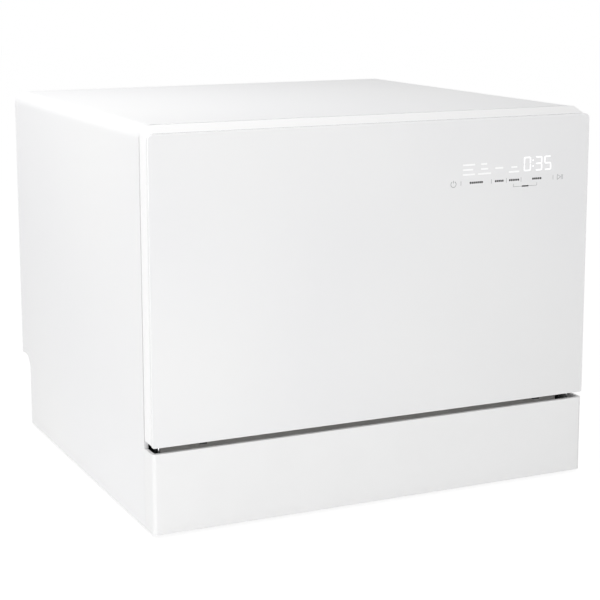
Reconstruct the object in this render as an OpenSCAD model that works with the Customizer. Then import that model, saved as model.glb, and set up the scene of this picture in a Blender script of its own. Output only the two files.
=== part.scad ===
// Countertop dishwasher with a drop-down door, a roll-out rack and a plinth panel.
// The front faces -Y, the back +Y, and Z = 0 is the worktop under the feet.
// All sizes are in millimetres.

/* [Overall] */
// Width of the cabinet and the door
body_w = 550; // [540:2:600]
// Depth from the door's front to the back fold of the cabinet
body_d = 515; // [505:5:560]
// Height from the worktop to the cabinet's top
body_h = 446; // [442:2:480]
// Height of the four fixed feet
foot_h = 4; // [3:0.5:6]
// Radius of a foot where it meets the worktop
foot_r = 12; // [9:1:15]

/* [Cabinet] */
// Steel sheet of the cabinet
sheet_t = 1; // [0.8:0.1:1.2]
// Bend radius along the two top edges
top_r = 16; // [12:1:22]
// Width of the fold round the cabinet's front
front_fold = 5; // [4:0.5:6]
// Width of the fold round the cabinet's back
back_fold = 12; // [8:1:16]
// Depth of the recess for the hoses, low at the back
notch_d = 36; // [32:1:42]
// Height of that recess
notch_h = 91; // [84:1:100]
// Radius of the recess's inner corner
notch_r = 18; // [10:1:24]
// Wall of the plastic base tray
tray_t = 2.5; // [2:0.25:3]
// Height of the base tray's rim
tray_rim = 30; // [20:1:40]
// Height of the plinth panel
plinth_h = 90.5; // [86:0.5:95]
// Wall of the plinth panel
plinth_t = 2.5; // [2:0.25:3]
// Radius of the plinth panel's upright corners
plinth_r = 5; // [3:0.5:8]
// Rounding of the plinth panel's top edge
plinth_edge = 0.8; // [0.6:0.1:2]
// Depth of the plinth panel's top lip
plinth_lip = 3.5; // [3:0.5:10]

/* [Door] */
// Thickness of the closed door
door_t = 26; // [24:0.5:30]
// Seam between the door and the cabinet
door_gap = 1.5; // [1.2:0.1:2]
// Gap between the plinth panel and the door
plinth_gap = 6.5; // [6:0.25:8]
// How far the front plate's top lies below the cabinet's top
plate_drop = 7.5; // [7:0.5:10]
// How far the door's top edge rises from front to back
door_rise = 7.5; // [4:0.25:8]
// Thickness of the front plate
plate_t = 4.5; // [3:0.25:5]
// Corner radius at the front plate's top
plate_r = 6.5; // [4:0.5:12]
// Corner radius at the front plate's lower end
plate_low_r = 2.5; // [1.5:0.5:8]
// Bevel round the front plate's face
plate_bevel = 0.8; // [0.4:0.1:1.2]
// Step from the front plate's outline in to the edge frame
frame_step = 0.6; // [0.3:0.1:1]
// Wall of the door's edge frame
frame_t = 2.5; // [2:0.25:3]
// Steel sheet of the inner liner
liner_t = 0.8; // [0.6:0.1:1]
// Depth of the field pressed into the inner liner
field_d = 5; // [3:0.5:7]
// Height of the two wheel tracks on the inner liner
track_h = 2; // [1:0.25:2.5]

/* [Hinge and latch] */
// Hinge axis behind the front plate's face
pivot_back = 9; // [9:0.25:9.5]
// Hinge axis above the door's bottom edge
pivot_up = 4.5; // [4.5:0.1:5]
// Radius of the hinge pins
hinge_pin_r = 2.2; // [1.8:0.1:2.4]
// Radial play of a pin or a shaft in its bore
fit = 0.05; // [0.02:0.01:0.09]
// Hinge bracket's centre plane in from the cabinet's side
hinge_in = 13; // [12:0.5:15]
// Steel plate of the hinge brackets and cheeks
hinge_plate = 3; // [2.5:0.25:3.5]
// Wire radius of the hinge springs
spring_wire = 0.8; // [0.6:0.05:0.9]
// Turns of each hinge spring
spring_turns = 4; // [3:1:4]
// Radius of the latch bolt
bolt_r = 1.4; // [1.2:0.05:1.5]

/* [Tub] */
// Space from the tub's inside to the cabinet's side
tub_side = 29; // [28:0.5:35]
// Space over the tub, up to the cabinet's top
tub_headroom = 26; // [25:0.5:34]
// Steel sheet of the tub
tub_t = 1; // [0.8:0.1:1.2]
// Inside corner radius of the tub
tub_r = 28; // [20:1:36]
// Tub's back in front of the hose recess
tub_rear_gap = 6.5; // [5:0.5:20]
// Depth of the step from the cabinet's front to the seal's seat
seal_set = 8; // [7.5:0.25:9]
// Width of the door seal
seal_w = 8; // [6:0.5:9]
// Height of the rack rails over the tub's floor
rail_h = 7; // [6:0.5:8]
// Width of a rack rail
rail_w = 20; // [18:0.5:22]

/* [Rack] */
// Distance the rack rolls out
rack_travel = 150; // [100:5:150]
// Distance from the closed door to the rack's front
rack_set = 44.5; // [44.5:0.5:60]
// Gap between the rack's back and the tub's back
rack_back_gap = 12; // [8:1:30]
// Height of the rack's wire walls
rack_h = 114; // [100:2:130]
// Radius of the rack's frame wires
wire_r = 2.2; // [2:0.1:2.5]
// Radius of the rack's thinner wires
rod_r = 1.7; // [1.4:0.1:1.9]
// Pitch of the floor and wall wires
wire_pitch = 30; // [24:2:40]
// Radius of the rack wheels
wheel_r = 13.7; // [12:0.1:13.7]
// Width of a rack wheel
wheel_w = 9.5; // [8:0.5:10]
// Radius of the wheel axles
axle_r = 3; // [2.5:0.1:3.5]
// Height of the plate tines
tine_h = 62; // [50:1:70]
// Reach of the cup shelf
shelf_d = 92; // [70:2:96]
// Length of the cup shelf
shelf_l = 230; // [180:5:260]
// Width of the cutlery basket
basket_w = 80; // [60:2:90]
// Length of the cutlery basket
basket_l = 216; // [160:4:240]
// Height of the cutlery basket
basket_h = 112; // [90:2:120]

/* [Spray and sump] */
// Length of the spray arm from its axis to a tip
arm_r = 186; // [150:2:190]
// Thickness of the spray arm
arm_t = 12; // [10:0.5:13]
// Radius of the sump's well
sump_r = 42; // [38:1:46]
// Distance from the spray arm's axis to the filter cup's axis
filter_x = 74; // [70:1:80]
// Radius of the filter cup
cup_r = 27; // [24:0.5:28]
// Wall of the sump
sump_t = 2.5; // [2:0.25:3]

/* [Hidden] */
$fn = 48;
slim = 0.3; // running gap between parts that move past each other
y_front = -body_d / 2;
y_back = body_d / 2;
y_cab = y_front + door_t + door_gap;
y_in = y_front + door_t;
y_plate = y_front + plate_t;
y_notch = y_back - notch_d;
x_side = body_w / 2;
x_in = x_side - sheet_t;
z_base = foot_h;
z_top = body_h;
z_notch = z_base + notch_h;
z_plinth = z_base + plinth_h;
z_door = z_plinth + plinth_gap;
z_plate = z_top - plate_drop;
z_tray = z_base + tray_t;

hinge_y = y_front + pivot_back;
hinge_z = z_door + pivot_up;
hinge_x = x_side - hinge_in;
eye_r = pivot_up - slim;
open_face = door_t - pivot_back; // the inner face's distance from the hinge axis

y_ring = y_cab + seal_set;
y_tub = y_notch - tub_rear_gap;
tub_x = x_side - tub_side;
z_tub = z_top - tub_headroom;
roll_gap = 0.5; // the wheels' path over the tracks of the open door
z_rail = hinge_z + open_face + track_h + roll_gap;
z_floor = z_rail - rail_h;
floor_t = 3;
z_under = z_floor - floor_t;
lip_h = 5;
z_lip = z_floor + lip_h;
cross_drop = 1.5;
z_cross = hinge_z - cross_drop;
seat_drop = 53; // from the hinge axis down to the brackets' seats
z_seat = hinge_z - seat_drop;
ring_margin = 12; // from the tub's wall to the step of its front frame
step_x = x_side - ring_margin - 1;
step_top = z_top - 6;

// The rack, at rest
rack_y0 = y_in + rack_set;
rack_y1 = y_tub - rack_back_gap;
wheel_z = z_rail + wheel_r + slim;
rack_lift = 31; // from the rails up to the rack's lowest wires' axes
z_cross_rod = z_rail + rack_lift;
z_long_rod = z_cross_rod + 2 * rod_r;
z_rim = z_long_rod + rack_h;
wheel_front = 132; // front wheels behind the closed door, so that they clear it as it opens
wheel_ys = [y_in + wheel_front, rack_y1 - 52];
wheel_x = tub_x - rail_w / 2 - 1;
wheel_out = 15; // from the side walls' wires to the middle of the wheels
rack_half = wheel_x - wheel_out;

// The hose and cord fittings on the back, as [x, z]
fit_z = z_base + 34;
inlet_x = 75 - x_side;
drain_x = 125 - x_side;
gland_x = x_side - 75;
inlet_r = 13.2;
spigot_r = 9.5;
cord_r = 4.2;

// The detergent dispenser on the door, its flange and its chamber
disp_x = [-59, 160];
disp_mid = (hinge_z + z_plate) / 2 + 3;
disp_z = [disp_mid - 47, disp_mid + 47];
disp_face = y_in - 2;
chamber_x = [-48, 18];
chamber_z = [disp_z[0] + 19, disp_z[1] - 19];
lid_lap = 4;
lid_t = 2;
lid_travel = 68;
cap_x = 132;
cap_z = disp_z[0] + 60;
cap_r = 13;
button_z = disp_z[0] + 24;
button_r = 7;

// The spray arm turns about this axis
spray_y = (y_ring + y_tub) / 2 - 1.5;
spray_z = z_floor + 13;

// Extrusions along one axis of an outline drawn in the plane across it

module along_x(from, to) {
    translate([from, 0, 0])
        rotate([90, 0, 90])
            linear_extrude(to - from)
                children();
}

module along_y(from, to) {
    translate([0, to, 0])
        rotate([90, 0, 0])
            linear_extrude(to - from)
                children();
}

module along_z(from, to) {
    translate([0, 0, from])
        linear_extrude(to - from)
            children();
}

// A block between two opposite corners
module block(low, high) {
    translate(low)
        cube(high - low);
}

// A round bar along an axis, from one place to another on it
module bar_x(from, to, y, z, r) {
    translate([from, y, z])
        rotate([0, 90, 0])
            cylinder(h = to - from, r = r);
}

module bar_y(from, to, x, z, r) {
    translate([x, to, z])
        rotate([90, 0, 0])
            cylinder(h = to - from, r = r);
}

module bar_z(from, to, x, y, r) {
    translate([x, y, from])
        cylinder(h = to - from, r = r);
}

// The same thing on both sides of the object
module both_sides() {
    for (side = [0, 1])
        mirror([side, 0, 0])
            children();
}

// An upright panel's outline, with its own radius at the top and at the bottom corners
module panel(half, low, high, r_top, r_low = 0) {
    translate([-half, low + r_low])
        square([2 * half, high - low - r_top - r_low]);
    translate([-half + r_top, high - r_top])
        square([2 * (half - r_top), r_top]);
    for (side = [-1, 1])
        translate([side * (half - r_top), high - r_top])
            circle(r_top);
    if (r_low > 0) {
        translate([-half + r_low, low])
            square([2 * (half - r_low), r_low]);
        for (side = [-1, 1])
            translate([side * (half - r_low), low + r_low])
                circle(r_low);
    }
}

// A rectangle between two corners with all its corners rounded
module pad(low, high, r) {
    translate([low.x + r, low.y])
        square([high.x - low.x - 2 * r, high.y - low.y]);
    translate([low.x, low.y + r])
        square([high.x - low.x, high.y - low.y - 2 * r]);
    for (x = [low.x + r, high.x - r], y = [low.y + r, high.y - r])
        translate([x, y])
            circle(r);
}

// Hose recess, seen from the side, grown by the thickness of a sheet
module recess(grow = 0) {
    r = notch_r + grow;
    far = y_back + 10;
    low = z_base - 10;
    inner = y_notch - grow;
    roof = z_notch + grow;
    translate([inner, low])
        square([far - inner, roof - r - low]);
    translate([inner + r, low])
        square([far - inner - r, roof - low]);
    translate([inner + r, roof - r])
        circle(r);
}

// A slot with round ends that stands upright or lies flat
module slot(x, y, w, h) {
    r = min(w, h) / 2;
    translate([x, y])
        pad([-w / 2, -h / 2], [w / 2, h / 2], r * 0.99);
}

// A round wire that follows a path without ever running along X, as one closed mesh
function unit(v) = v / norm(v);
function heading(p, i) = unit(p[min(i + 1, len(p) - 1)] - p[max(i - 1, 0)]);
function wire_ring(p, i, r, n) =
    let (t = heading(p, i), a = unit(cross(t, [1, 0, 0])), b = cross(t, a))
    [for (k = [0:n - 1]) p[i] + r * (cos(360 * k / n) * a + sin(360 * k / n) * b)];

module wire(p, r, n = 8) {
    last = len(p) - 1;
    points = [for (i = [0:last]) each wire_ring(p, i, r, n)];
    sides = [for (i = [0:last - 1], k = [0:n - 1])
        let (a = i * n + k, b = i * n + (k + 1) % n) each [[a, b, a + n], [b, b + n, a + n]]];
    start = [for (k = [1:n - 2]) [0, k + 1, k]];
    end = [for (k = [1:n - 2]) [last * n, last * n + k, last * n + k + 1]];
    polyhedron(points, concat(start, sides, end));
}

// Cabinet

module cabinet_wrap() {
    color("#eeeeee")
        difference() {
            along_y(y_cab, y_back)
                panel(x_side, z_base, z_top, top_r);
            along_y(y_cab + sheet_t, y_back - sheet_t)
                panel(x_in, z_base - 1, z_top - sheet_t, top_r - sheet_t);
            along_y(y_cab - 1, y_cab + sheet_t + 1)
                panel(x_side - front_fold, z_base - 1, z_top - front_fold, top_r - front_fold);
            along_y(y_back - sheet_t - 1, y_back + 1)
                panel(x_side - back_fold, z_base - 1, z_top - back_fold, max(top_r - back_fold, 1));
            along_x(-x_side - 1, x_side + 1)
                recess();
        }
}

// Rows of louvre slots, as [x, z] of each slot's middle
vent_xs = [-110, 0, 110];
vent_zs = [for (row = [0:5]) z_notch + 46 + 12 * row];
screw_in = back_fold + 7;
screw_xs = [-x_side + screw_in, -90, 90, x_side - screw_in];
screw_zs = [z_notch + 14, (z_notch + z_top) / 2, z_top - screw_in];
screw_places = concat(
    [for (x = [screw_xs[0], screw_xs[3]], z = screw_zs) [x, z]],
    [for (x = [screw_xs[1], screw_xs[2]]) [x, z_top - screw_in]]
);
screw_r = 1.8;
panel_half = x_in - slim;
z_panel_low = z_base + 56;

module rear_panel() {
    color("#b9bcbe")
        difference() {
            union() {
                along_y(y_back - 2 * sheet_t, y_back - sheet_t)
                    panel(panel_half, z_notch, z_top - sheet_t - slim, top_r - sheet_t - slim);
                along_y(y_back - sheet_t, y_back - slim)
                    pad([-x_side + 70, z_notch + 30], [x_side - 70, z_top - 60], 20);
                along_x(-panel_half, panel_half)
                    intersection() {
                        difference() {
                            recess(sheet_t);
                            recess();
                        }
                        translate([y_notch - sheet_t, z_panel_low])
                            square([notch_d, notch_h]);
                    }
            }
            along_y(y_back - 3 * sheet_t, y_back + 1)
                for (x = vent_xs, z = vent_zs)
                    slot(x, z, 80, 4);
            for (place = screw_places)
                bar_y(y_back - 3 * sheet_t, y_back, place.x, place.y, screw_r + 0.1);
        }
}

module rear_screws() {
    head_t = sheet_t - 0.1;
    color("#8f9295")
        for (place = screw_places) {
            bar_y(y_back - 8, y_back - sheet_t, place.x, place.y, screw_r);
            difference() {
                bar_y(y_back - sheet_t, y_back - sheet_t + head_t, place.x, place.y, 4.2);
                along_y(y_back - sheet_t + 0.4, y_back)
                    for (turn = [0, 90])
                        translate([place.x, place.y])
                            rotate(turn)
                                square([5, 1], center = true);
            }
        }
}

pillar_x = [hinge_x - 18, hinge_x + 4];
pillar_y = [y_cab + 3, y_cab + 40];
post_xs = [-tub_x + 8, tub_x - 8];
post_ys = [y_ring + 76, y_tub - 46];

// The tray's outline from above
module tray_plan() {
    x_front = x_side - plinth_t;
    x_neck = x_side - front_fold - slim;
    y_fold = y_cab + sheet_t;
    r = plinth_r - plinth_t; // follows the inside of the plinth panel
    y_edge = y_front + plinth_t;
    translate([-x_front, y_edge + r])
        square([2 * x_front, y_cab - y_edge - r]);
    translate([-x_front + r, y_edge])
        square([2 * (x_front - r), r]);
    for (x = [-x_front + r, x_front - r])
        translate([x, y_edge + r])
            circle(r);
    translate([-x_neck, y_cab - 1])
        square([2 * x_neck, sheet_t + 2]);
    translate([-x_in, y_fold])
        square([2 * x_in, y_notch - y_fold]);
}

// The space inside the tray's rim
module tray_inside() {
    x_neck = x_side - front_fold - slim - tray_t;
    y_fold = y_cab + sheet_t + tray_t;
    translate([-x_neck, y_front + plinth_t + tray_t])
        square([2 * x_neck, y_notch - y_front - plinth_t - 2 * tray_t]);
    translate([-x_in + tray_t, y_fold])
        square([2 * (x_in - tray_t), y_notch - tray_t - y_fold]);
}

module base_tray() {
    color("#3b3d40")
        difference() {
            union() {
                along_z(z_base, z_tray)
                    tray_plan();
                along_z(z_tray, z_base + tray_rim)
                    difference() {
                        tray_plan();
                        tray_inside();
                    }
                // back wall that carries the hose and cord fittings
                block([-x_in, y_notch - tray_t, z_tray], [x_in, y_notch, z_panel_low]);
                // pillars under the hinge brackets
                both_sides()
                    block([pillar_x[0], pillar_y[0], z_tray], [pillar_x[1], pillar_y[1], z_seat]);
                // posts under the tub's floor
                for (x = post_xs, y = post_ys)
                    block([x - 7, y - 13, z_tray], [x + 7, y + 13, z_under]);
                // stiffening ribs
                for (y = [-190, -120, 120, 175])
                    block([-x_in + tray_t, y - 1, z_tray], [x_in - tray_t, y + 1, z_tray + 8]);
            }
            along_y(y_notch - tray_t - 1, y_notch + 1)
                for (place = [[inlet_x, 10], [drain_x, 7], [gland_x, 7]])
                    translate([place[0], fit_z])
                        circle(place[1]);
            // cooling slots under the pumps
            along_z(z_base - 1, z_tray + 1)
                for (x = [-170:22:-60])
                    slot(x, -60, 6, 60);
        }
}

module plinth_panel() {
    // plan of the panel with its two side returns
    module plan(in, r) {
        half = x_side - in;
        y0 = y_front + in;
        translate([-half, y0 + r])
            square([2 * half, y_cab - slim - y0 - r]);
        translate([-half + r, y0])
            square([2 * (half - r), r]);
        for (side = [-1, 1])
            translate([side * (half - r), y0 + r])
                circle(r);
    }
    // side view with the rounded top front edge
    module side_view() {
        e = plinth_edge;
        translate([y_front, z_base])
            square([door_t + door_gap, z_plinth - e - z_base]);
        translate([y_front + e, z_base])
            square([door_t + door_gap - e, z_plinth - z_base]);
        translate([y_front + e, z_plinth - e])
            circle(e);
    }
    color("#ededed")
        intersection() {
            difference() {
                along_z(z_base, z_plinth)
                    plan(0, plinth_r);
                along_z(z_base - 1, z_plinth - plinth_t)
                    plan(plinth_t, plinth_r - plinth_t);
                translate([0, 1, 0])
                    along_z(z_plinth - plinth_t - 1, z_plinth + 1)
                        plan(plinth_lip, 1);
                block([-x_side + plinth_t, y_cab - 2, z_base - 1], [x_side - plinth_t, y_cab, z_plinth + 1]);
            }
            along_x(-x_side, x_side)
                side_view();
        }
}

foot_xs = [-x_side + 40, x_side - 40];
foot_ys = [y_front + 42, y_notch - 30];

module feet() {
    color("#2c2c2e")
        for (x = foot_xs, y = foot_ys)
            translate([x, y, 0])
                cylinder(h = foot_h, r1 = foot_r, r2 = foot_r + 2);
}

cross_half = hinge_x - 6;

module front_crossbar() {
    web_t = 1.5;
    low = z_seat + hinge_plate;
    back = y_cab + 25;
    color("#4a4c4f")
        difference() {
            union() {
                block([-cross_half, y_cab + sheet_t, low], [cross_half, y_cab + sheet_t + web_t, z_cross]);
                block([-cross_half, y_cab + sheet_t, z_cross - web_t], [cross_half, back, z_cross]);
                block([-cross_half, y_cab + sheet_t, low], [cross_half, back, low + web_t]);
            }
            along_y(y_cab, y_cab + 4)
                for (x = [-180:60:180])
                    slot(x, (low + z_cross) / 2, 36, 14);
        }
}

// Tub

module tub_wrap() {
    color("#c9cccf")
        along_y(y_ring + tub_t, y_tub)
            difference() {
                panel(tub_x + tub_t, z_floor, z_tub + tub_t, tub_r + tub_t);
                translate([0, -1])
                    panel(tub_x, z_floor, z_tub + 1, tub_r);
            }
}

module tub_back() {
    rib_zs = [for (step = [1:3]) z_floor + step * (z_tub - z_floor) / 4];
    color("#c4c7ca") {
        along_y(y_tub, y_tub + tub_t)
            panel(tub_x + tub_t, z_floor, z_tub + tub_t, tub_r + tub_t);
        along_y(y_tub + tub_t, y_tub + tub_t + 2)
            for (z = rib_zs)
                pad([-tub_x + 50, z - 9], [tub_x - 50, z + 9], 8);
    }
}

// Outline from above of the well that holds the spray column and the filter cup
module well(r) {
    for (x = [0, filter_x])
        translate([x, spray_y])
            circle(r);
    translate([0, spray_y - r])
        square([filter_x, 2 * r]);
}

float_place = [-tub_x + 52, y_ring + 50];
float_r = 16;

module tub_floor() {
    ledge = 3;
    color("#c9cccf")
        difference() {
            union() {
                along_z(z_under, z_floor)
                    translate([-tub_x - tub_t, y_ring + tub_t])
                        square([2 * (tub_x + tub_t), y_tub - y_ring]);
                // raised collar round the float's hole
                bar_z(z_floor, z_floor + 2, float_place.x, float_place.y, 11);
            }
            along_z(z_floor - floor_t / 2, z_floor + 1)
                well(sump_r);
            along_z(z_under - 1, z_floor + 1)
                well(sump_r - ledge);
            bar_z(z_under - 1, z_floor + 3, float_place.x, float_place.y, 5);
        }
}

module tub_front_frame() {
    color("#c9cccf")
        difference() {
            union() {
                along_y(y_ring, y_ring + tub_t)
                    difference() {
                        panel(step_x, z_cross, step_top, top_r);
                        translate([0, -1])
                            panel(tub_x, z_cross, z_tub + 1, tub_r);
                    }
                along_y(y_cab + sheet_t, y_ring)
                    difference() {
                        panel(step_x, z_cross, step_top, top_r);
                        translate([0, -1])
                            panel(step_x - tub_t, z_cross - 1, step_top, top_r - tub_t);
                    }
                along_y(y_cab + sheet_t, y_cab + sheet_t + tub_t)
                    difference() {
                        panel(x_side - 2, z_cross, z_top - 2, top_r - 2);
                        translate([0, -1])
                            panel(step_x - tub_t, z_cross - 1, step_top, top_r - tub_t);
                    }
            }
            // room for the hinge brackets
            both_sides()
                block([hinge_x - 4, y_cab, z_cross - 1], [x_side, y_ring + 2, hinge_z + 8]);
            // slot for the door's striker
            block([-3.5, y_ring - 1, strike_z - 3.8], [3.5, y_ring + 2, strike_z + 4.9]);
        }
}

// Sill under the tub's opening, with a lip folded back to keep the water in
module tub_sill() {
    fold = 5;
    lip_x = tub_x - rail_w - 1;
    color("#c9cccf") {
        block([-tub_x, y_ring, z_cross], [tub_x, y_ring + tub_t, z_lip]);
        block([-lip_x, y_ring + tub_t, z_lip - tub_t], [lip_x, y_ring + tub_t + fold, z_lip]);
    }
}

// The seal's outline, grown outwards from the tub's opening
module seal_line(out) {
    panel(tub_x + out, z_lip - out, z_tub + out, tub_r + out, lip_h + out);
}

module door_seal() {
    gap = 1.5;
    front = y_in + 0.5;
    color("#6d7074") {
        along_y(y_ring - 6, y_ring)
            difference() {
                seal_line(gap + seal_w);
                seal_line(gap);
            }
        along_y(front, y_ring - 6)
            difference() {
                seal_line(gap + seal_w - 1.5);
                seal_line(gap + 1.5);
            }
    }
}

module rack_rails() {
    color("#d8dadc")
        both_sides()
            along_y(y_ring + 3, y_tub - 6)
                translate([tub_x - rail_w, z_floor])
                    square([rail_w, rail_h]);
}

// Strips on the rails that keep the wheels in line
module rail_guides() {
    guide_h = 4;
    edge = 2;
    x = tub_x - rail_w;
    color("#d8dadc")
        both_sides()
            along_x(x, x + edge)
                polygon([
                    [y_ring + 3, z_rail], [y_tub - 6, z_rail],
                    [y_tub - 12, z_rail + guide_h], [y_ring + 9, z_rail + guide_h]
                ]);
}

module sound_mat() {
    color("#232323")
        block([-tub_x + 46, y_ring + 40, z_tub + tub_t], [tub_x - 46, y_tub - 10, z_tub + tub_t + 3]);
}

// Hinge and latch

module hinge_bracket(side) {
    back = y_cab + 38;
    color("#2f3133")
        mirror([side < 0 ? 1 : 0, 0, 0])
            difference() {
                union() {
                    along_x(hinge_x - hinge_plate / 2, hinge_x + hinge_plate / 2) {
                        translate([hinge_y, hinge_z])
                            circle(eye_r);
                        translate([hinge_y, hinge_z - eye_r])
                            square([y_cab + 6 - hinge_y, 2 * eye_r]);
                        polygon([
                            [y_cab + sheet_t, z_seat], [back, z_seat],
                            [back, z_seat + 20], [y_cab + 18, hinge_z + 6], [y_cab + sheet_t, hinge_z + 6]
                        ]);
                    }
                    block([pillar_x[0], pillar_y[0], z_seat], [hinge_x, back, z_seat + hinge_plate]);
                }
                bar_x(hinge_x - 5, hinge_x + 5, hinge_y, hinge_z, hinge_pin_r + fit);
                bar_z(z_seat - 1, z_seat + 4, hinge_x - 10, y_cab + 31.5, 2.6);
            }
}

module hinge_bracket_left() {
    hinge_bracket(-1);
}

module hinge_bracket_right() {
    hinge_bracket(1);
}

cheek_t = 2.2;
cheek_in = hinge_x - 16; // inner face of the inner cheek
cheek_out = hinge_x + 7; // outer face of the outer cheek

module hinge_pins() {
    color("#b5b8ba")
        both_sides() {
            bar_x(cheek_in - 1.4, cheek_out + 1, hinge_y, hinge_z, hinge_pin_r);
            bar_x(cheek_in - 1.4, cheek_in, hinge_y, hinge_z, hinge_pin_r + 1);
            bar_x(cheek_out, cheek_out + 1, hinge_y, hinge_z, hinge_pin_r + 1);
        }
}

// One hinge spring: coils round the pin, with a leg back into the cabinet and one in the door
coil_r = hinge_pin_r + fit + spring_wire + slim;
coil_x = cheek_in + cheek_t + spring_wire + slim;
coil_pitch = 2 * spring_wire + 0.5;
coil_steps = 8;
coil_path = concat(
    [[coil_x, hinge_y + coil_r, hinge_z + 4.5]],
    [for (i = [0:spring_turns * coil_steps + coil_steps / 4 * 3])
        let (turn = i * 360 / coil_steps)
        [coil_x + coil_pitch * turn / 360, hinge_y + coil_r * cos(turn), hinge_z - coil_r * sin(turn)]]
);

module hinge_springs() {
    turn_end = spring_turns * 360 + 270;
    leg_x = coil_x + coil_pitch * turn_end / 360;
    rest_x = hinge_x - hinge_plate / 2 - spring_wire + 0.05;
    leg = [[leg_x, y_cab + 10, hinge_z + coil_r], [rest_x, y_cab + 16, hinge_z + coil_r]];
    color("#d4d6d8")
        both_sides()
            wire(concat(coil_path, leg), spring_wire, 6);
}

strike_z = z_top - 11.7;
strike_y = y_ring + 5.5;
latch_y = [y_ring + tub_t, y_ring + 26];

module latch_housing() {
    color("#e8e8e8")
        difference() {
            block([-12, latch_y[0], z_tub + tub_t], [36, latch_y[1], z_top - sheet_t - 3.5]);
            block([-3, latch_y[0] - 1, strike_z - 3.5], [3, strike_y + 6, strike_z + 4.8]);
            bar_x(-8, 37, strike_y, strike_z, bolt_r + fit);
            bar_x(12, 34, strike_y, strike_z, 4.3);
        }
}

module latch_bolt() {
    color("#c8cacc") {
        bar_x(3.3, 34.8, strike_y, strike_z, bolt_r);
        bar_x(20, 22, strike_y, strike_z, 4);
    }
}

// Sump, filters and spray

z_pit = z_base + 52;
hub_r = 11;
stem_r = 6;

module sump() {
    color("#55585b")
        difference() {
            union() {
                along_z(z_under - 3, z_under)
                    well(sump_r + 8);
                along_z(z_pit, z_under)
                    well(sump_r);
                bar_x(-sump_r - 6, -sump_r + 6, spray_y, z_pit + 16, 17);
                bar_y(spray_y + sump_r - 6, spray_y + sump_r + 6, filter_x, z_pit + 14, 12);
            }
            along_z(z_pit + sump_t, z_under + 1)
                well(sump_r - sump_t - 1);
            bar_x(-sump_r - 7, -sump_r + 8, spray_y, z_pit + 16, 13);
            bar_y(spray_y + sump_r - 8, spray_y + sump_r + 7, filter_x, z_pit + 14, 8);
        }
}

module spray_column() {
    color("#6a6d70") {
        bar_z(z_pit + sump_t, spray_z - slim, 0, spray_y, hub_r);
        bar_z(spray_z - slim, spray_z + arm_t + slim, 0, spray_y, stem_r);
    }
}

module flat_filter() {
    z0 = z_floor - floor_t / 2;
    color("#d3d5d7")
        difference() {
            along_z(z0, z_floor)
                well(sump_r - slim);
            bar_z(z0 - 1, z_floor + 1, 0, spray_y, hub_r + slim);
            bar_z(z0 - 1, z_floor + 1, filter_x, spray_y, cup_r + 0.1);
            for (ring = [0:1], step = [-8:8])
                let (r = hub_r + 10 + 10 * ring, turn = 180 + step * 18)
                if (abs(step) < 7)
                    bar_z(z0 - 1, z_floor + 1, r * cos(turn), spray_y + r * sin(turn), 2);
        }
}

module filter_cup() {
    low = z_pit + sump_t + slim;
    color("#8c9194")
        difference() {
            union() {
                bar_z(low, z_floor + 1, filter_x, spray_y, cup_r);
                // grip across the top
                block([filter_x - 20, spray_y - 2.5, z_floor + 1], [filter_x + 20, spray_y + 2.5, z_floor + 9]);
                bar_z(z_floor + 1, z_floor + 4, filter_x, spray_y, 9);
            }
            bar_z(low + 2, z_floor - 3, filter_x, spray_y, cup_r - 2);
            // windows of the fine mesh
            for (turn = [0:60:300])
                translate([filter_x, spray_y, 0])
                    rotate(turn)
                        block([cup_r - 4, -7, low + 8], [cup_r + 2, 7, z_floor - 10]);
        }
}

module spray_arm() {
    tip = 12;
    hub = 21;
    // one half of the arm, thinner towards its tip
    module half_arm(turn) {
        rotate(turn)
            hull() {
                cylinder(h = arm_t, r = hub, $fn = 32);
                translate([arm_r - tip, 6, 1.5])
                    cylinder(h = arm_t - 4, r = tip, $fn = 32);
            }
    }
    color("#5f6366")
        translate([0, spray_y, spray_z])
            difference() {
                union() {
                    half_arm(0);
                    half_arm(180);
                }
                translate([0, 0, -1])
                    cylinder(h = arm_t + 2, r = stem_r + fit);
                for (turn = [0, 180], at = [48:32:arm_r - 12])
                    rotate(turn)
                        translate([at, 5 * at / arm_r, arm_t - 5])
                            cylinder(h = 8, r = 1.3);
            }
}

module spray_nut() {
    color("#44474a")
        translate([0, spray_y, spray_z + arm_t + slim])
            difference() {
                cylinder(h = 6, r = 13);
                for (turn = [0:45:315])
                    rotate(turn)
                        translate([15, 0, -1])
                            cylinder(h = 8, r = 3.4);
            }
}

// Pumps, heater and water connections

pump_z = z_pit + 16;
pump_x = -sump_r - 6;

module wash_pump() {
    volute_r = 30;
    motor_r = 25;
    color("#787b7e")
        difference() {
            union() {
                bar_x(pump_x - 26, pump_x - 6, spray_y, pump_z - 12, volute_r);
                bar_x(pump_x - 6, pump_x, spray_y, pump_z, 17);
                bar_x(pump_x - 104, pump_x - 26, spray_y, pump_z - 12, motor_r);
                for (at = [-98:8:-34])
                    bar_x(pump_x + at, pump_x + at + 3, spray_y, pump_z - 12, motor_r + 2.5);
                block([pump_x - 92, spray_y - 22, z_tray], [pump_x - 34, spray_y + 22, pump_z - 30]);
                // outlet towards the heater
                bar_y(spray_y + 14, spray_y + 52, pump_x - 16, pump_z + 6, 9);
            }
            bar_x(pump_x - 20, pump_x + 1, spray_y, pump_z, 13);
        }
}

module flow_heater() {
    y0 = spray_y + 52;
    color("#a7a9ab") {
        bar_y(y0, y0 + 96, pump_x - 16, pump_z + 6, 15);
        bar_y(y0 + 96, y0 + 104, pump_x - 16, pump_z + 6, 6);
        for (y = [y0 + 14, y0 + 76])
            block([pump_x - 24, y, z_tray], [pump_x - 8, y + 6, pump_z - 8]);
    }
}

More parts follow.
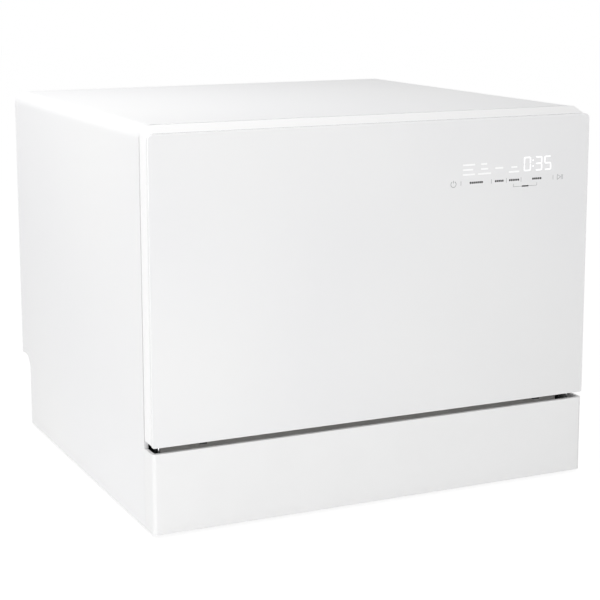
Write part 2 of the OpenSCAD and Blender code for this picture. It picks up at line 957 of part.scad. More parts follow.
module drain_pump() {
    y0 = spray_y + sump_r + 6;
    z = z_pit + 14;
    color("#66696c") {
        bar_y(y0, y0 + 18, filter_x, z, 21);
        bar_y(y0 + 18, y0 + 58, filter_x, z, 17);
        block([filter_x - 15, y0 + 20, z_tray], [filter_x + 15, y0 + 54, z - 14]);
        bar_z(z + 10, z + 34, filter_x + 10, y0 + 9, 7);
    }
}

module inlet_valve() {
    back = y_notch - tray_t;
    color("#dcdcd8") {
        block([inlet_x - 16, back - 42, fit_z - 18], [inlet_x + 16, back, fit_z + 18]);
        for (dx = [-8, 8])
            bar_z(fit_z + 18, fit_z + 36, inlet_x + dx, back - 24, 7.5);
        block([inlet_x - 10, back - 34, z_tray], [inlet_x + 10, back - 8, fit_z - 18]);
        bar_y(back, y_notch, inlet_x, fit_z, 9.8);
    }
}

module water_inlet() {
    collar = 3;
    color("#c9a54a")
        difference() {
            union() {
                bar_y(y_notch, y_notch + collar, inlet_x, fit_z, inlet_r + 3);
                bar_y(y_notch + collar, y_notch + 18, inlet_x, fit_z, inlet_r);
            }
            bar_y(y_notch - 1, y_notch + 19, inlet_x, fit_z, 8);
        }
}

module drain_spigot() {
    collar = 3;
    color("#3a3c3e")
        difference() {
            union() {
                bar_y(y_notch - tray_t - 6, y_notch, drain_x, fit_z, 6.8);
                bar_y(y_notch, y_notch + collar, drain_x, fit_z, spigot_r + 4.5);
                bar_y(y_notch + collar, y_notch + 31, drain_x, fit_z, spigot_r);
            }
            bar_y(y_notch - tray_t - 7, y_notch + 32, drain_x, fit_z, 5.2);
        }
}

module cord_gland() {
    color("#242527")
        difference() {
            union() {
                bar_y(y_notch - tray_t - 4, y_notch, gland_x, fit_z, 6.8);
                bar_y(y_notch, y_notch + 3, gland_x, fit_z, 11);
                translate([gland_x, y_notch + 3, fit_z])
                    rotate([-90, 0, 0])
                        cylinder(h = 10, r1 = 9, r2 = 7);
            }
            bar_y(y_notch - tray_t - 5, y_notch + 14, gland_x, fit_z, cord_r);
        }
}

module float_cup() {
    z0 = z_floor + 2.3;
    color("#f2f2ee")
        translate([float_place.x, float_place.y, 0]) {
            translate([0, 0, z0])
                cylinder(h = 7, r = float_r);
            translate([0, 0, z0 + 7])
                cylinder(h = 3, r1 = float_r, r2 = float_r - 4);
            translate([0, 0, z_under - 12])
                cylinder(h = z0 - z_under + 12, r = 4.6);
        }
}

// Door

module door_plate() {
    b = plate_bevel;
    color("#eaeaea")
        hull() {
            along_y(y_front + b, y_plate)
                panel(x_side, z_door, z_plate, plate_r, plate_low_r, $fn = 64);
            along_y(y_front, y_front + b)
                panel(x_side - b, z_door + b, z_plate - b, plate_r - b, plate_low_r - b, $fn = 64);
        }
}

frame_half = x_side - frame_step;
frame_low = z_door + frame_step;
frame_top = z_plate - frame_step + door_rise;
z_frame_in = frame_top - door_rise - frame_t; // underside of the door's top wall
frame_low_r = max(0, plate_low_r - frame_t);
pocket_x = [cheek_in - 2.5, cheek_out + 1.5];
pocket_z = hinge_z + 8.5;

// The door's outline behind the plate, with a top edge that rises towards the cabinet
module rising() {
    lean = atan(door_rise / (y_in - y_plate));
    intersection() {
        along_y(y_plate, y_in)
            panel(frame_half, frame_low, frame_top + 5, 1, plate_low_r);
        translate([0, y_in, frame_top])
            rotate([lean, 0, 0])
                along_y(-160, 50)
                    panel(frame_half, frame_low - frame_top - 30, 0, plate_r);
    }
}

module hinge_pockets() {
    both_sides()
        block([pocket_x[0], y_plate, z_door - 1], [pocket_x[1], y_in + 2, pocket_z]);
}

module door_frame() {
    color("#e6e6e6")
        difference() {
            union() {
                difference() {
                    rising();
                    along_y(y_plate - 1, y_in + 1)
                        panel(frame_half - frame_t, frame_low + frame_t, z_frame_in,
                            plate_r - frame_t, frame_low_r);
                }
                // walls beside and over the hinge pockets
                both_sides() {
                    block([pocket_x[0] - frame_t, y_plate, frame_low + 1],
                        [pocket_x[0], y_in - liner_t, pocket_z + frame_t]);
                    block([pocket_x[0] - frame_t, hinge_y + eye_r + 0.8, pocket_z],
                        [frame_half - frame_t + 1, y_in - liner_t, pocket_z + frame_t]);
                }
            }
            hinge_pockets();
        }
}

field_x = x_side - 70;
field_z = [hinge_z + 30, z_frame_in - 39];

module door_liner() {
    top = z_frame_in;
    half = frame_half - frame_t;
    low = frame_low + frame_t;
    track_x = [wheel_x - 6, wheel_x + 6];
    color("#c7cacd")
        difference() {
            union() {
                along_y(y_in - liner_t, y_in)
                    panel(half, low, top, plate_r - frame_t, frame_low_r);
                along_y(y_in - field_d - liner_t, y_in)
                    pad([-field_x - liner_t, field_z[0] - liner_t],
                        [field_x + liner_t, field_z[1] + liner_t], 18 + liner_t);
                // tracks for the rack's wheels
                both_sides()
                    along_y(y_in, y_in + track_h)
                        pad([track_x[0], hinge_z + 22], [track_x[1], hinge_z + 150], 4);
            }
            along_y(y_in - field_d, y_in + 1)
                pad([-field_x, field_z[0]], [field_x, field_z[1]], 18);
            // hole for the dispenser
            along_y(y_in - field_d - 2, y_in + 1)
                translate([disp_x[0] + 4, disp_z[0] + 4])
                    square([disp_x[1] - disp_x[0] - 8, disp_z[1] - disp_z[0] - 8]);
            hinge_pockets();
        }
}

module door_hinge(side) {
    web_low = hinge_z + 12;
    web_high = hinge_z + 46;
    web_y = y_in - liner_t - 2.2;
    color("#a9acae")
        mirror([side < 0 ? 1 : 0, 0, 0])
            difference() {
                union() {
                    for (x = [cheek_in, cheek_out - cheek_t])
                        along_x(x, x + cheek_t) {
                            translate([hinge_y, hinge_z])
                                circle(eye_r);
                            translate([hinge_y - eye_r, hinge_z])
                                square([2 * eye_r, 12]);
                            translate([hinge_y - eye_r, web_low])
                                square([web_y + 1 - hinge_y + eye_r, web_high - web_low]);
                        }
                    block([cheek_in, web_y, web_low], [cheek_out, y_in - liner_t, web_high]);
                }
                bar_x(cheek_in - 1, cheek_out + 1, hinge_y, hinge_z, hinge_pin_r + fit);
            }
}

module door_hinge_left() {
    door_hinge(-1);
}

module door_hinge_right() {
    door_hinge(1);
}

module door_striker() {
    low = strike_z - 3;
    room = bolt_r + 0.45;
    color("#b5b8ba")
        difference() {
            union() {
                block([-1.5, y_in, low], [1.5, strike_y + 4, strike_z + 2.8]);
                block([-11, y_in, strike_z - 3.3], [11, y_in + 1.1, strike_z + 5]);
            }
            // notch of the hook that the bolt slides into
            block([-2, strike_y - room, low - 1], [2, strike_y + room, strike_z + room]);
        }
}

// The touch pads stand in one row, under the digit block and the lamp block
pads_z = z_plate - 73.2;
board_x = [x_side - 191, x_side - 29];
board_z = [pads_z - 10.8, pads_z + 29.2];
pad_xs = [for (from_side = [183.5, 153.5, 123, 103, 72, 39.5]) x_side - from_side];

module control_board() {
    pcb = y_plate + 7;
    color("#2f6b4a") {
        block([board_x[0], pcb, board_z[0]], [board_x[1], pcb + 1.6, board_z[1]]);
        block([x_side - 92, y_plate, pads_z + 7.7], [x_side - 50, pcb, pads_z + 27.7]);
        block([x_side - 174, y_plate, pads_z + 7.7], [x_side - 95, pcb, pads_z + 23.7]);
        for (x = pad_xs)
            bar_y(y_plate, pcb, x, pads_z, 4.5);
        block([x_side - 183, pcb + 1.6, board_z[0] + 6], [x_side - 137, pcb + 6.5, board_z[1] - 10]);
        bar_y(pcb + 1.6, pcb + 7, x_side - 97, board_z[0] + 20, 6);
    }
}

// Detergent dispenser

module detergent_dispenser() {
    back = y_plate + 2;
    rail_t = 2;
    rail_x = [chamber_x[0] - 8, chamber_x[1] + lid_travel + 8];
    color("#d9dbdc")
        difference() {
            union() {
                along_y(y_in - field_d, disp_face)
                    pad([disp_x[0], disp_z[0]], [disp_x[1], disp_z[1]], 6);
                block([disp_x[0] + 5, back, disp_z[0] + 5], [disp_x[1] - 5, y_in - field_d, disp_z[1] - 5]);
                // lipped guides that hold the sliding lid
                for (end = [0, 1]) {
                    edge = end == 0 ? chamber_z[0] - lid_lap - slim : chamber_z[1] + lid_lap + slim;
                    out = end == 0 ? -rail_t : rail_t;
                    lip = end == 0 ? 1.6 : -1.6;
                    block([rail_x[0], disp_face, min(edge, edge + out)],
                        [rail_x[1], disp_face + lid_t + 1.6, max(edge, edge + out)]);
                    block([rail_x[0], disp_face + lid_t + 0.6, min(edge + out, edge + lip)],
                        [rail_x[1], disp_face + lid_t + 1.6, max(edge + out, edge + lip)]);
                }
            }
            block([chamber_x[0], back + 1.5, chamber_z[0]], [chamber_x[1], disp_face + 1, chamber_z[1]]);
            bar_y(back + 3, disp_face + 1, cap_x, cap_z, cap_r);
            bar_y(back + 5, disp_face + 1, cap_x, button_z, button_r + 0.1);
        }
}

module dispenser_lid() {
    y0 = disp_face + slim / 2;
    y1 = y0 + lid_t;
    color("#eceded") {
        block([chamber_x[0] - lid_lap, y0, chamber_z[0] - lid_lap],
            [chamber_x[1] + lid_lap, y1, chamber_z[1] + lid_lap]);
        // finger ribs
        for (step = [0:3])
            block([chamber_x[0] + 6 + 5 * step, y1, chamber_z[0] + 14],
                [chamber_x[0] + 8 + 5 * step, y1 + 1.2, chamber_z[1] - 14]);
    }
}

module lid_button() {
    color("#8d9194")
        bar_y(disp_face - 8, disp_face + 2, cap_x, button_z, button_r);
}

module rinse_cap() {
    color("#4c6f9c") {
        bar_y(disp_face - 9, disp_face + slim / 2, cap_x, cap_z, cap_r - 0.1);
        bar_y(disp_face + slim / 2, disp_face + 3, cap_x, cap_z, cap_r + 3);
        block([cap_x - 2, disp_face + 3, cap_z - 13], [cap_x + 2, disp_face + 8, cap_z + 13]);
    }
}

// Rack

long_pitch = wire_pitch * 0.96;
long_half = floor((rack_half - 12) / long_pitch); // long wires on each side of the middle one
long_xs = [for (i = [-long_half:long_half]) i * long_pitch];
cross_count = round((rack_y1 - rack_y0) / (wire_pitch * 1.33));
cross_ys = [for (i = [1:cross_count - 1]) rack_y0 + i * (rack_y1 - rack_y0) / cross_count];
tine_xs = [-4 * long_pitch, long_pitch];
tine_ys = [for (y = rack_y0 + 46; y < rack_y1 - 60; y = y + wire_pitch) y];

module rack_floor() {
    color("#dfe1e3") {
        for (x = [-rack_half, rack_half])
            bar_y(rack_y0, rack_y1, x, z_long_rod, wire_r);
        for (y = [rack_y0, rack_y1])
            bar_x(-rack_half, rack_half, y, z_long_rod, wire_r);
        for (x = [-rack_half, rack_half], y = [rack_y0, rack_y1])
            translate([x, y, z_long_rod])
                sphere(wire_r);
        for (x = long_xs)
            bar_y(rack_y0, rack_y1, x, z_long_rod, rod_r);
        for (y = cross_ys)
            bar_x(-rack_half, rack_half, y, z_cross_rod + 0.4, rod_r);
    }
}

z_wall = z_long_rod + wire_r;

// A straight wire wall over the floor's edge, drawn along X
module wire_wall(from, to, y, out) {
    count = round((to - from) / wire_pitch);
    mid = (z_wall + z_rim) / 2;
    for (i = [0:count])
        bar_z(z_wall, z_rim, from + i * (to - from) / count, y, rod_r);
    bar_x(from - wire_r, to + wire_r, y, z_rim, wire_r);
    bar_x(from - wire_r, to + wire_r, y + out * (2 * rod_r - 0.4), mid, rod_r);
}

corner = 9; // the walls' end wires stay this far from the rack's corners

module rack_front() {
    color("#dfe1e3") {
        wire_wall(-rack_half + corner, rack_half - corner, rack_y0, 1);
        // grip in the middle of the top wire
        bar_x(-46, 46, rack_y0, z_rim, wire_r + 3.4);
    }
}

module rack_back() {
    color("#dfe1e3")
        wire_wall(-rack_half + corner, rack_half - corner, rack_y1, -1);
}

// Side wall on +X or -X
module side_wall(side) {
    color("#dfe1e3")
        translate([side * rack_half, 0, 0])
            rotate(-90)
                wire_wall(-rack_y1 + corner, -rack_y0 - corner, 0, 0);
}

shelf_z = z_long_rod + 79;
shelf_x = -rack_half + 8.5;
shelf_y = -20;
shelf_rod_r = 2;

module rack_left() {
    side_wall(-1);
    color("#dfe1e3") {
        bar_y(shelf_y - shelf_l / 2 - 8, shelf_y + shelf_l / 2 + 8, shelf_x, shelf_z, shelf_rod_r);
        for (y = [shelf_y - shelf_l / 2 - 7, shelf_y + shelf_l / 2 + 7])
            bar_x(-rack_half, shelf_x, y, shelf_z, shelf_rod_r * 0.8);
        for (y = [shelf_y - shelf_l / 2 - 7, shelf_y + shelf_l / 2 + 7])
            bar_z(z_wall, z_rim, -rack_half, y, rod_r);
    }
}

module rack_right() {
    side_wall(1);
}

module plate_tines() {
    color("#dfe1e3")
        for (x = tine_xs, y = tine_ys) {
            bar_z(z_long_rod + rod_r, z_long_rod + tine_h, x, y, rod_r);
            translate([x, y, z_long_rod + tine_h])
                sphere(rod_r);
        }
}

module wheel_brackets() {
    plate = 3;
    x0 = rack_half + wire_r;
    wheel_in = wheel_x - wheel_w / 2;
    color("#b9bcbe")
        both_sides()
            for (y = wheel_ys) {
                along_x(x0, x0 + plate)
                    pad([y - 13, wheel_z - 7], [y + 13, z_long_rod + 10], 4);
                bar_x(x0 + plate, wheel_in - slim, y, wheel_z, axle_r + 2);
                bar_x(wheel_in - slim, wheel_in + wheel_w + slim, y, wheel_z, axle_r);
                bar_x(wheel_in + wheel_w + slim, wheel_in + wheel_w + 1.4, y, wheel_z, axle_r + 1.5);
            }
}

module rack_wheel(side, y) {
    rim = 3;
    hub = axle_r + 3;
    half = wheel_w / 2;
    color("#8f9396")
        translate([side * wheel_x, y, wheel_z])
            rotate([0, 90, 0])
                difference() {
                    rotate_extrude()
                        difference() {
                            translate([axle_r + fit, -half])
                                square([wheel_r - axle_r - fit, wheel_w]);
                            for (end = [-half - 1, half - 2.6])
                                translate([hub, end])
                                    square([wheel_r - rim - hub, 3.6]);
                        }
                    for (turn = [0:60:300])
                        rotate(turn)
                            translate([(hub + wheel_r - rim) / 2, 0, -half])
                                cylinder(h = wheel_w, r = 1.4);
                }
}

module wheel_front_left() {
    rack_wheel(-1, wheel_ys[0]);
}

module wheel_front_right() {
    rack_wheel(1, wheel_ys[0]);
}

module wheel_back_left() {
    rack_wheel(-1, wheel_ys[1]);
}

module wheel_back_right() {
    rack_wheel(1, wheel_ys[1]);
}

module cup_shelf() {
    eye = shelf_rod_r + fit;
    deck_t = 3;
    edge = 7; // solid border round the deck's slots
    x0 = shelf_x + 3;
    x1 = shelf_x + shelf_d;
    mid = (z_wall + z_rim) / 2;
    wall_x = -rack_half + rod_r + slim;
    y0 = shelf_y - shelf_l / 2;
    y1 = shelf_y + shelf_l / 2;
    slots = 9;
    pitch = (shelf_l - 2 * edge) / slots;
    color("#c9cdd0")
        difference() {
            union() {
                block([x0, y0, shelf_z - deck_t / 2], [x1, y1, shelf_z + deck_t / 2]);
                block([x1 - 2, y0, shelf_z - deck_t / 2], [x1, y1, shelf_z + deck_t / 2 + 3]);
                for (y = [y0 + 8, shelf_y, y1 - 8])
                    bar_y(y - 7, y + 7, shelf_x, shelf_z, eye + 2);
                // struts that stop the shelf against the wall's middle wire
                for (y = [y0 + 8, y1 - 8])
                    along_y(y - 3, y + 3)
                        polygon([
                            [shelf_x, shelf_z - 3], [shelf_x + 22, shelf_z - 1], [shelf_x - 1, mid - 5],
                            [wall_x, mid - 5], [wall_x, mid + 4], [shelf_x - 3, shelf_z - 3]
                        ]);
            }
            bar_y(y0 - 1, y1 + 1, shelf_x, shelf_z, eye);
            for (i = [0:slots - 1])
                block([x0 + edge, y0 + edge + i * pitch + 3, shelf_z - 5],
                    [x1 - edge, y0 + edge + (i + 1) * pitch - 3, shelf_z + 8]);
        }
}

basket_y = rack_y0 + 30;
basket_x = rack_half - wire_r - 4 - basket_w;
basket_z = z_long_rod + rod_r;
cells = [2, 4];
cell_wall = 2;

module cutlery_basket() {
    w = basket_w;
    l = basket_l;
    h = basket_h;
    cell = [(w - cell_wall) / cells.x, (l - cell_wall) / cells.y];
    slit = 4;
    color("#c3c8cb")
        translate([basket_x, basket_y, basket_z])
            difference() {
                union() {
                    along_z(0, h)
                        difference() {
                            square([w, l]);
                            for (i = [0:cells.x - 1], j = [0:cells.y - 1])
                                translate([cell_wall + i * cell.x, cell_wall + j * cell.y])
                                    square([cell.x - cell_wall, cell.y - cell_wall]);
                        }
                    cube([w, l, 2.5]);
                    // carrying handle over the middle wall
                    for (y = [l / 2 - 48, l / 2 + 42])
                        translate([w / 2 - 3, y, h])
                            cube([6, 6, 22]);
                    translate([w / 2 - 5, l / 2 - 48, h + 22])
                        cube([10, 96, 5]);
                }
                // drain slits in the floor and in the four outer walls
                for (i = [0:cells.x - 1], j = [0:cells.y - 1], k = [0:2])
                    translate([(i + 0.5) * cell.x + 1 + (k - 1) * 10 - slit / 2, j * cell.y + 8, -1])
                        cube([slit, cell.y - 14, 5]);
                for (j = [0:cells.y - 1], k = [0:2], x = [-1, w - cell_wall - 1])
                    translate([x, (j + 0.5) * cell.y + 1 + (k - 1) * 15 - 3, 14])
                        cube([cell_wall + 2, 6, h - 34]);
                for (i = [0:cells.x - 1], k = [0:1], y = [-1, l - cell_wall - 1])
                    translate([(i + 0.5) * cell.x + 1 + (k - 0.5) * 15 - 3, y, 14])
                        cube([6, cell_wall + 2, h - 34]);
            }
}

cabinet_wrap();
rear_panel();
rear_screws();
base_tray();
plinth_panel();
feet();
front_crossbar();
tub_wrap();
tub_back();
tub_floor();
tub_front_frame();
tub_sill();
door_seal();
rack_rails();
rail_guides();
sound_mat();
hinge_bracket_left();
hinge_bracket_right();
hinge_pins();
hinge_springs();
latch_housing();
latch_bolt();
sump();
flat_filter();
filter_cup();
spray_column();
spray_arm();
spray_nut();
wash_pump();
drain_pump();
flow_heater();
inlet_valve();
water_inlet();
drain_spigot();
cord_gland();
float_cup();
door_plate();
door_frame();
door_liner();
door_hinge_left();
door_hinge_right();
door_striker();
control_board();
detergent_dispenser();
dispenser_lid();
lid_button();
rinse_cap();
rack_floor();
rack_front();
rack_back();
rack_left();
rack_right();
plate_tines();
wheel_brackets();
wheel_front_left();
wheel_front_right();
wheel_back_left();
wheel_back_right();
cup_shelf();
cutlery_basket();
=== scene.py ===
import math

import bmesh
import bpy
from mathutils import Matrix, Vector


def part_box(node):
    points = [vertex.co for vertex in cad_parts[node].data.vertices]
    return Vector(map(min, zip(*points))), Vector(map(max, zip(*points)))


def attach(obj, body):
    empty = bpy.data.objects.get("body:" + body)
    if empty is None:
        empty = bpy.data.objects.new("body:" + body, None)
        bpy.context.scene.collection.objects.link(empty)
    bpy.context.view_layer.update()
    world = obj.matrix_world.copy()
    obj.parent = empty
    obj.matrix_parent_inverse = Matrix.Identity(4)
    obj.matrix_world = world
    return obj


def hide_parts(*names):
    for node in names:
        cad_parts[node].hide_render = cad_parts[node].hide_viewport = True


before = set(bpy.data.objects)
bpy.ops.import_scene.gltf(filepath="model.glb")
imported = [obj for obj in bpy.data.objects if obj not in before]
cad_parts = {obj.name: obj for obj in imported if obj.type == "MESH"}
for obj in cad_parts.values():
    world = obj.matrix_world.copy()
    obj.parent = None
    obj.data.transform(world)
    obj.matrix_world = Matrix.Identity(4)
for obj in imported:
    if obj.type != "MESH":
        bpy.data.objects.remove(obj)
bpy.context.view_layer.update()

mm = 0.001
joinDistance = 0.002 * mm  # points nearer than this become one point
touching = 1e-6  # edges this near to a face's plane lie in it
print("packed frame loaded:", len(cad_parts), "nodes")


# Small helpers

def linear(hexColour):
    channels = []
    for i in (1, 3, 5):
        c = int(hexColour[i:i + 2], 16) / 255
        channels.append(c / 12.92 if c <= 0.04045 else ((c + 0.055) / 1.055) ** 2.4)
    return (*channels, 1.0)


def connect(tree, node, links):
    # links an input's name to a node's first output, or to a (node, output name) pair
    for name, source in links.items():
        start, output = source if isinstance(source, tuple) else (source, 0)
        tree.links.new(start.outputs[output], node.inputs[name])


def addNode(tree, kind, settings=None, links=None, stops=()):
    # stops are a colour ramp's (position, hex colour) pairs
    node = tree.nodes.new(kind)
    for name, value in (settings or {}).items():
        if isinstance(name, str) and hasattr(node, name):
            setattr(node, name, value)
        else:
            node.inputs[name].default_value = value
    for i, (position, colour) in enumerate(stops):
        node.color_ramp.elements[i].position = position
        node.color_ramp.elements[i].color = linear(colour)
    connect(tree, node, links or {})
    return node


def startMaterial(name, settings):
    material = bpy.data.materials.new(name)
    material.use_nodes = True
    tree = material.node_tree
    tree.nodes.clear()
    place = addNode(tree, "ShaderNodeTexCoord")
    shader = addNode(tree, "ShaderNodeBsdfPrincipled", settings)
    addNode(tree, "ShaderNodeOutputMaterial", links={"Surface": shader})
    return material, tree, (place, "Object"), shader


def softEdges(tree, shader, bump=None, radius=0.4):
    # a rounded look on edges that are sharp in the solids, radius in mm
    edge = addNode(tree, "ShaderNodeBevel", {"samples": 4, "Radius": radius * mm})
    if bump is None:
        connect(tree, shader, {"Normal": edge})
    else:
        connect(tree, bump, {"Normal": edge})
        connect(tree, shader, {"Normal": bump})


# Materials, each named for the real finish, with their sizes in mm

def powderCoat(name, colour, shade):
    # powder-coated steel sheet: even semi-gloss with a very fine orange peel
    values = {"cloud": 333.3, "peel": 1.4, "peelHeight": 0.006, "roughness": (0.38, 0.47), "edge": 0.6}
    material, tree, place, shader = startMaterial(name, {"IOR": 1.42})
    cloud = addNode(tree, "ShaderNodeTexNoise", {
        "Scale": 1000 / values["cloud"], "Detail": 1}, {"Vector": place})
    tone = addNode(tree, "ShaderNodeValToRGB", links={"Fac": cloud}, stops=[(0.3, shade), (0.7, colour)])
    peel = addNode(tree, "ShaderNodeTexNoise", {
        "Scale": 1000 / values["peel"], "Detail": 1}, {"Vector": place})
    low, high = values["roughness"]
    rough = addNode(tree, "ShaderNodeMapRange", {"To Min": low, "To Max": high}, {"Value": peel})
    connect(tree, shader, {"Base Color": tone, "Roughness": rough})
    bump = addNode(tree, "ShaderNodeBump", {
        "Strength": 0.25, "Distance": values["peelHeight"] * mm}, {"Height": peel})
    softEdges(tree, shader, bump, values["edge"])
    return material


def backPaintedGlass():
    # white back-painted glass: a clear, very smooth top with the colour lying under it
    values = {"colour": "#EFEFEF", "shade": "#ECECED", "cloud": 250, "wave": 180, "waveHeight": 0.05}
    material, tree, place, shader = startMaterial("backPaintedGlassWhite", {
        "IOR": 1.52, "Roughness": 0.09, "Coat Weight": 0.6, "Coat Roughness": 0.03})
    cloud = addNode(tree, "ShaderNodeTexNoise", {
        "Scale": 1000 / values["cloud"], "Detail": 1}, {"Vector": place})
    tone = addNode(tree, "ShaderNodeValToRGB", links={"Fac": cloud}, stops=[
        (0.3, values["shade"]), (0.7, values["colour"])])
    wave = addNode(tree, "ShaderNodeTexNoise", {
        "Scale": 1000 / values["wave"], "Detail": 0}, {"Vector": place})
    bump = addNode(tree, "ShaderNodeBump", {
        "Strength": 0.1, "Distance": values["waveHeight"] * mm}, {"Height": wave})
    connect(tree, shader, {"Base Color": tone, "Normal": bump})
    return material


def mouldedPlastic(name, colour, shade, roughness, grain, grainHeight):
    # injection-moulded plastic: a spark-eroded grain, seen as a soft mottle in the gloss
    values = {"cloud": 40, "spread": 0.06}
    material, tree, place, shader = startMaterial(name, {"IOR": 1.49})
    cloud = addNode(tree, "ShaderNodeTexNoise", {
        "Scale": 1000 / values["cloud"], "Detail": 3}, {"Vector": place})
    tone = addNode(tree, "ShaderNodeValToRGB", links={"Fac": cloud}, stops=[(0.35, shade), (0.65, colour)])
    pores = addNode(tree, "ShaderNodeTexNoise", {"Scale": 1000 / grain, "Detail": 2}, {"Vector": place})
    rough = addNode(tree, "ShaderNodeMapRange", {
        "To Min": roughness - values["spread"], "To Max": roughness + values["spread"]}, {"Value": pores})
    connect(tree, shader, {"Base Color": tone, "Roughness": rough})
    bump = addNode(tree, "ShaderNodeBump", {
        "Strength": 0.4, "Distance": grainHeight * mm}, {"Height": pores})
    softEdges(tree, shader, bump)
    return material


def brushedStainless(name, stretch, colour, shade, roughness):
    # stainless sheet brushed one way: long fine lines that spread the highlights across them
    values = {"line": 1.0, "lineHeight": 0.01}
    material, tree, place, shader = startMaterial(name, {"Metallic": 1.0})
    long = addNode(tree, "ShaderNodeMapping", {"Scale": stretch}, {"Vector": place})
    lines = addNode(tree, "ShaderNodeTexNoise", {
        "Scale": 1000 / values["line"], "Detail": 3}, {"Vector": long})
    tone = addNode(tree, "ShaderNodeValToRGB", links={"Fac": lines}, stops=[(0.3, shade), (0.7, colour)])
    rough = addNode(tree, "ShaderNodeMapRange", {
        "To Min": roughness - 0.06, "To Max": roughness + 0.1}, {"Value": lines})
    connect(tree, shader, {"Base Color": tone, "Roughness": rough})
    bump = addNode(tree, "ShaderNodeBump", {
        "Strength": 0.3, "Distance": values["lineHeight"] * mm}, {"Height": lines})
    softEdges(tree, shader, bump)
    return material


def zincSheet():
    # hot-dip galvanised sheet: flat crystals a few millimetres wide, each with its own grey
    values = {"crystal": 9, "dark": "#9DA2A5", "light": "#BFC3C5", "roughness": (0.38, 0.58)}
    material, tree, place, shader = startMaterial("galvanisedSheet", {"Metallic": 0.85})
    crystals = addNode(tree, "ShaderNodeTexVoronoi", {
        "Scale": 1000 / values["crystal"]}, {"Vector": place})
    tone = addNode(tree, "ShaderNodeValToRGB", links={"Fac": (crystals, "Color")}, stops=[
        (0.1, values["dark"]), (0.9, values["light"])])
    low, high = values["roughness"]
    rough = addNode(tree, "ShaderNodeMapRange", {
        "To Min": low, "To Max": high}, {"Value": (crystals, "Color")})
    connect(tree, shader, {"Base Color": tone, "Roughness": rough})
    softEdges(tree, shader)
    return material


def turnedMetal(name, colour, shade, roughness):
    # bright turned or drawn metal: smooth, with a few darker rubbed places
    values = {"rub": 6.667, "edge": 0.2}
    material, tree, place, shader = startMaterial(name, {"Metallic": 1.0})
    rub = addNode(tree, "ShaderNodeTexNoise", {
        "Scale": 1000 / values["rub"], "Detail": 4}, {"Vector": place})
    tone = addNode(tree, "ShaderNodeValToRGB", links={"Fac": rub}, stops=[(0.35, shade), (0.6, colour)])
    rough = addNode(tree, "ShaderNodeMapRange", {
        "To Min": roughness - 0.05, "To Max": roughness + 0.12}, {"Value": rub})
    connect(tree, shader, {"Base Color": tone, "Roughness": rough})
    softEdges(tree, shader, None, values["edge"])
    return material


def blackenedSteel():
    # black electro-coated steel plate: thin, slightly uneven and a little dusty
    values = {"dust": 16.67, "dark": "#2C2D2F", "light": "#4A4C4E", "roughness": (0.4, 0.65)}
    material, tree, place, shader = startMaterial("blackCoatedSteel", {"Metallic": 0.2, "IOR": 1.5})
    dust = addNode(tree, "ShaderNodeTexNoise", {
        "Scale": 1000 / values["dust"], "Detail": 5}, {"Vector": place})
    tone = addNode(tree, "ShaderNodeValToRGB", links={"Fac": dust}, stops=[
        (0.4, values["dark"]), (0.75, values["light"])])
    low, high = values["roughness"]
    rough = addNode(tree, "ShaderNodeMapRange", {"To Min": low, "To Max": high}, {"Value": dust})
    connect(tree, shader, {"Base Color": tone, "Roughness": rough})
    softEdges(tree, shader)
    return material


def mouldedRubber(name, colour, shade):
    # compression-moulded rubber: matt, with a bloom of fine dust
    values = {"bloom": 11.11, "bloomHeight": 0.03, "roughness": (0.62, 0.82)}
    material, tree, place, shader = startMaterial(name, {"IOR": 1.52, "Sheen Weight": 0.15})
    bloom = addNode(tree, "ShaderNodeTexNoise", {
        "Scale": 1000 / values["bloom"], "Detail": 6}, {"Vector": place})
    tone = addNode(tree, "ShaderNodeValToRGB", links={"Fac": bloom}, stops=[(0.35, shade), (0.7, colour)])
    low, high = values["roughness"]
    rough = addNode(tree, "ShaderNodeMapRange", {"To Min": low, "To Max": high}, {"Value": bloom})
    bump = addNode(tree, "ShaderNodeBump", {
        "Strength": 0.3, "Distance": values["bloomHeight"] * mm}, {"Height": bloom})
    connect(tree, shader, {"Base Color": tone, "Roughness": rough, "Normal": bump})
    return material


def coatedWire():
    # steel wire dipped in grey nylon: a soft satin skin with slow ripples
    values = {"ripple": 4.545, "rippleHeight": 0.04, "dark": "#C6C9CC", "light": "#D6D9DB",
              "roughness": (0.28, 0.42)}
    material, tree, place, shader = startMaterial("nylonCoatedWire", {"IOR": 1.53, "Coat Weight": 0.2})
    ripple = addNode(tree, "ShaderNodeTexNoise", {
        "Scale": 1000 / values["ripple"], "Detail": 2}, {"Vector": place})
    tone = addNode(tree, "ShaderNodeValToRGB", links={"Fac": ripple}, stops=[
        (0.3, values["dark"]), (0.7, values["light"])])
    low, high = values["roughness"]
    rough = addNode(tree, "ShaderNodeMapRange", {"To Min": low, "To Max": high}, {"Value": ripple})
    bump = addNode(tree, "ShaderNodeBump", {
        "Strength": 0.2, "Distance": values["rippleHeight"] * mm}, {"Height": ripple})
    connect(tree, shader, {"Base Color": tone, "Roughness": rough, "Normal": bump})
    return material


def perforatedStainless():
    # perforated filter sheet: rows of 1 mm holes, drawn 2.6 mm apart so that they show; they are painted
    # near black for the dark sump seen through them, partly its own dark grey and partly painted shade
    values = {"pitch": 2.6, "hole": "#1E1F20", "sheet": "#C4C7C9"}
    material, tree, place, shader = startMaterial("perforatedStainless", {
        "Metallic": 1.0, "Roughness": 0.35})
    holes = addNode(tree, "ShaderNodeTexVoronoi", {
        "voronoi_dimensions": "2D", "Scale": 1000 / values["pitch"], "Randomness": 0.0}, {"Vector": place})
    # near-black spots in the sheet's colour: the sump's dark grey seen through them, and painted shade
    tone = addNode(tree, "ShaderNodeValToRGB", links={"Fac": (holes, "Distance")}, stops=[
        (0.26, values["hole"]), (0.32, values["sheet"])])
    connect(tree, shader, {"Base Color": tone})
    return material


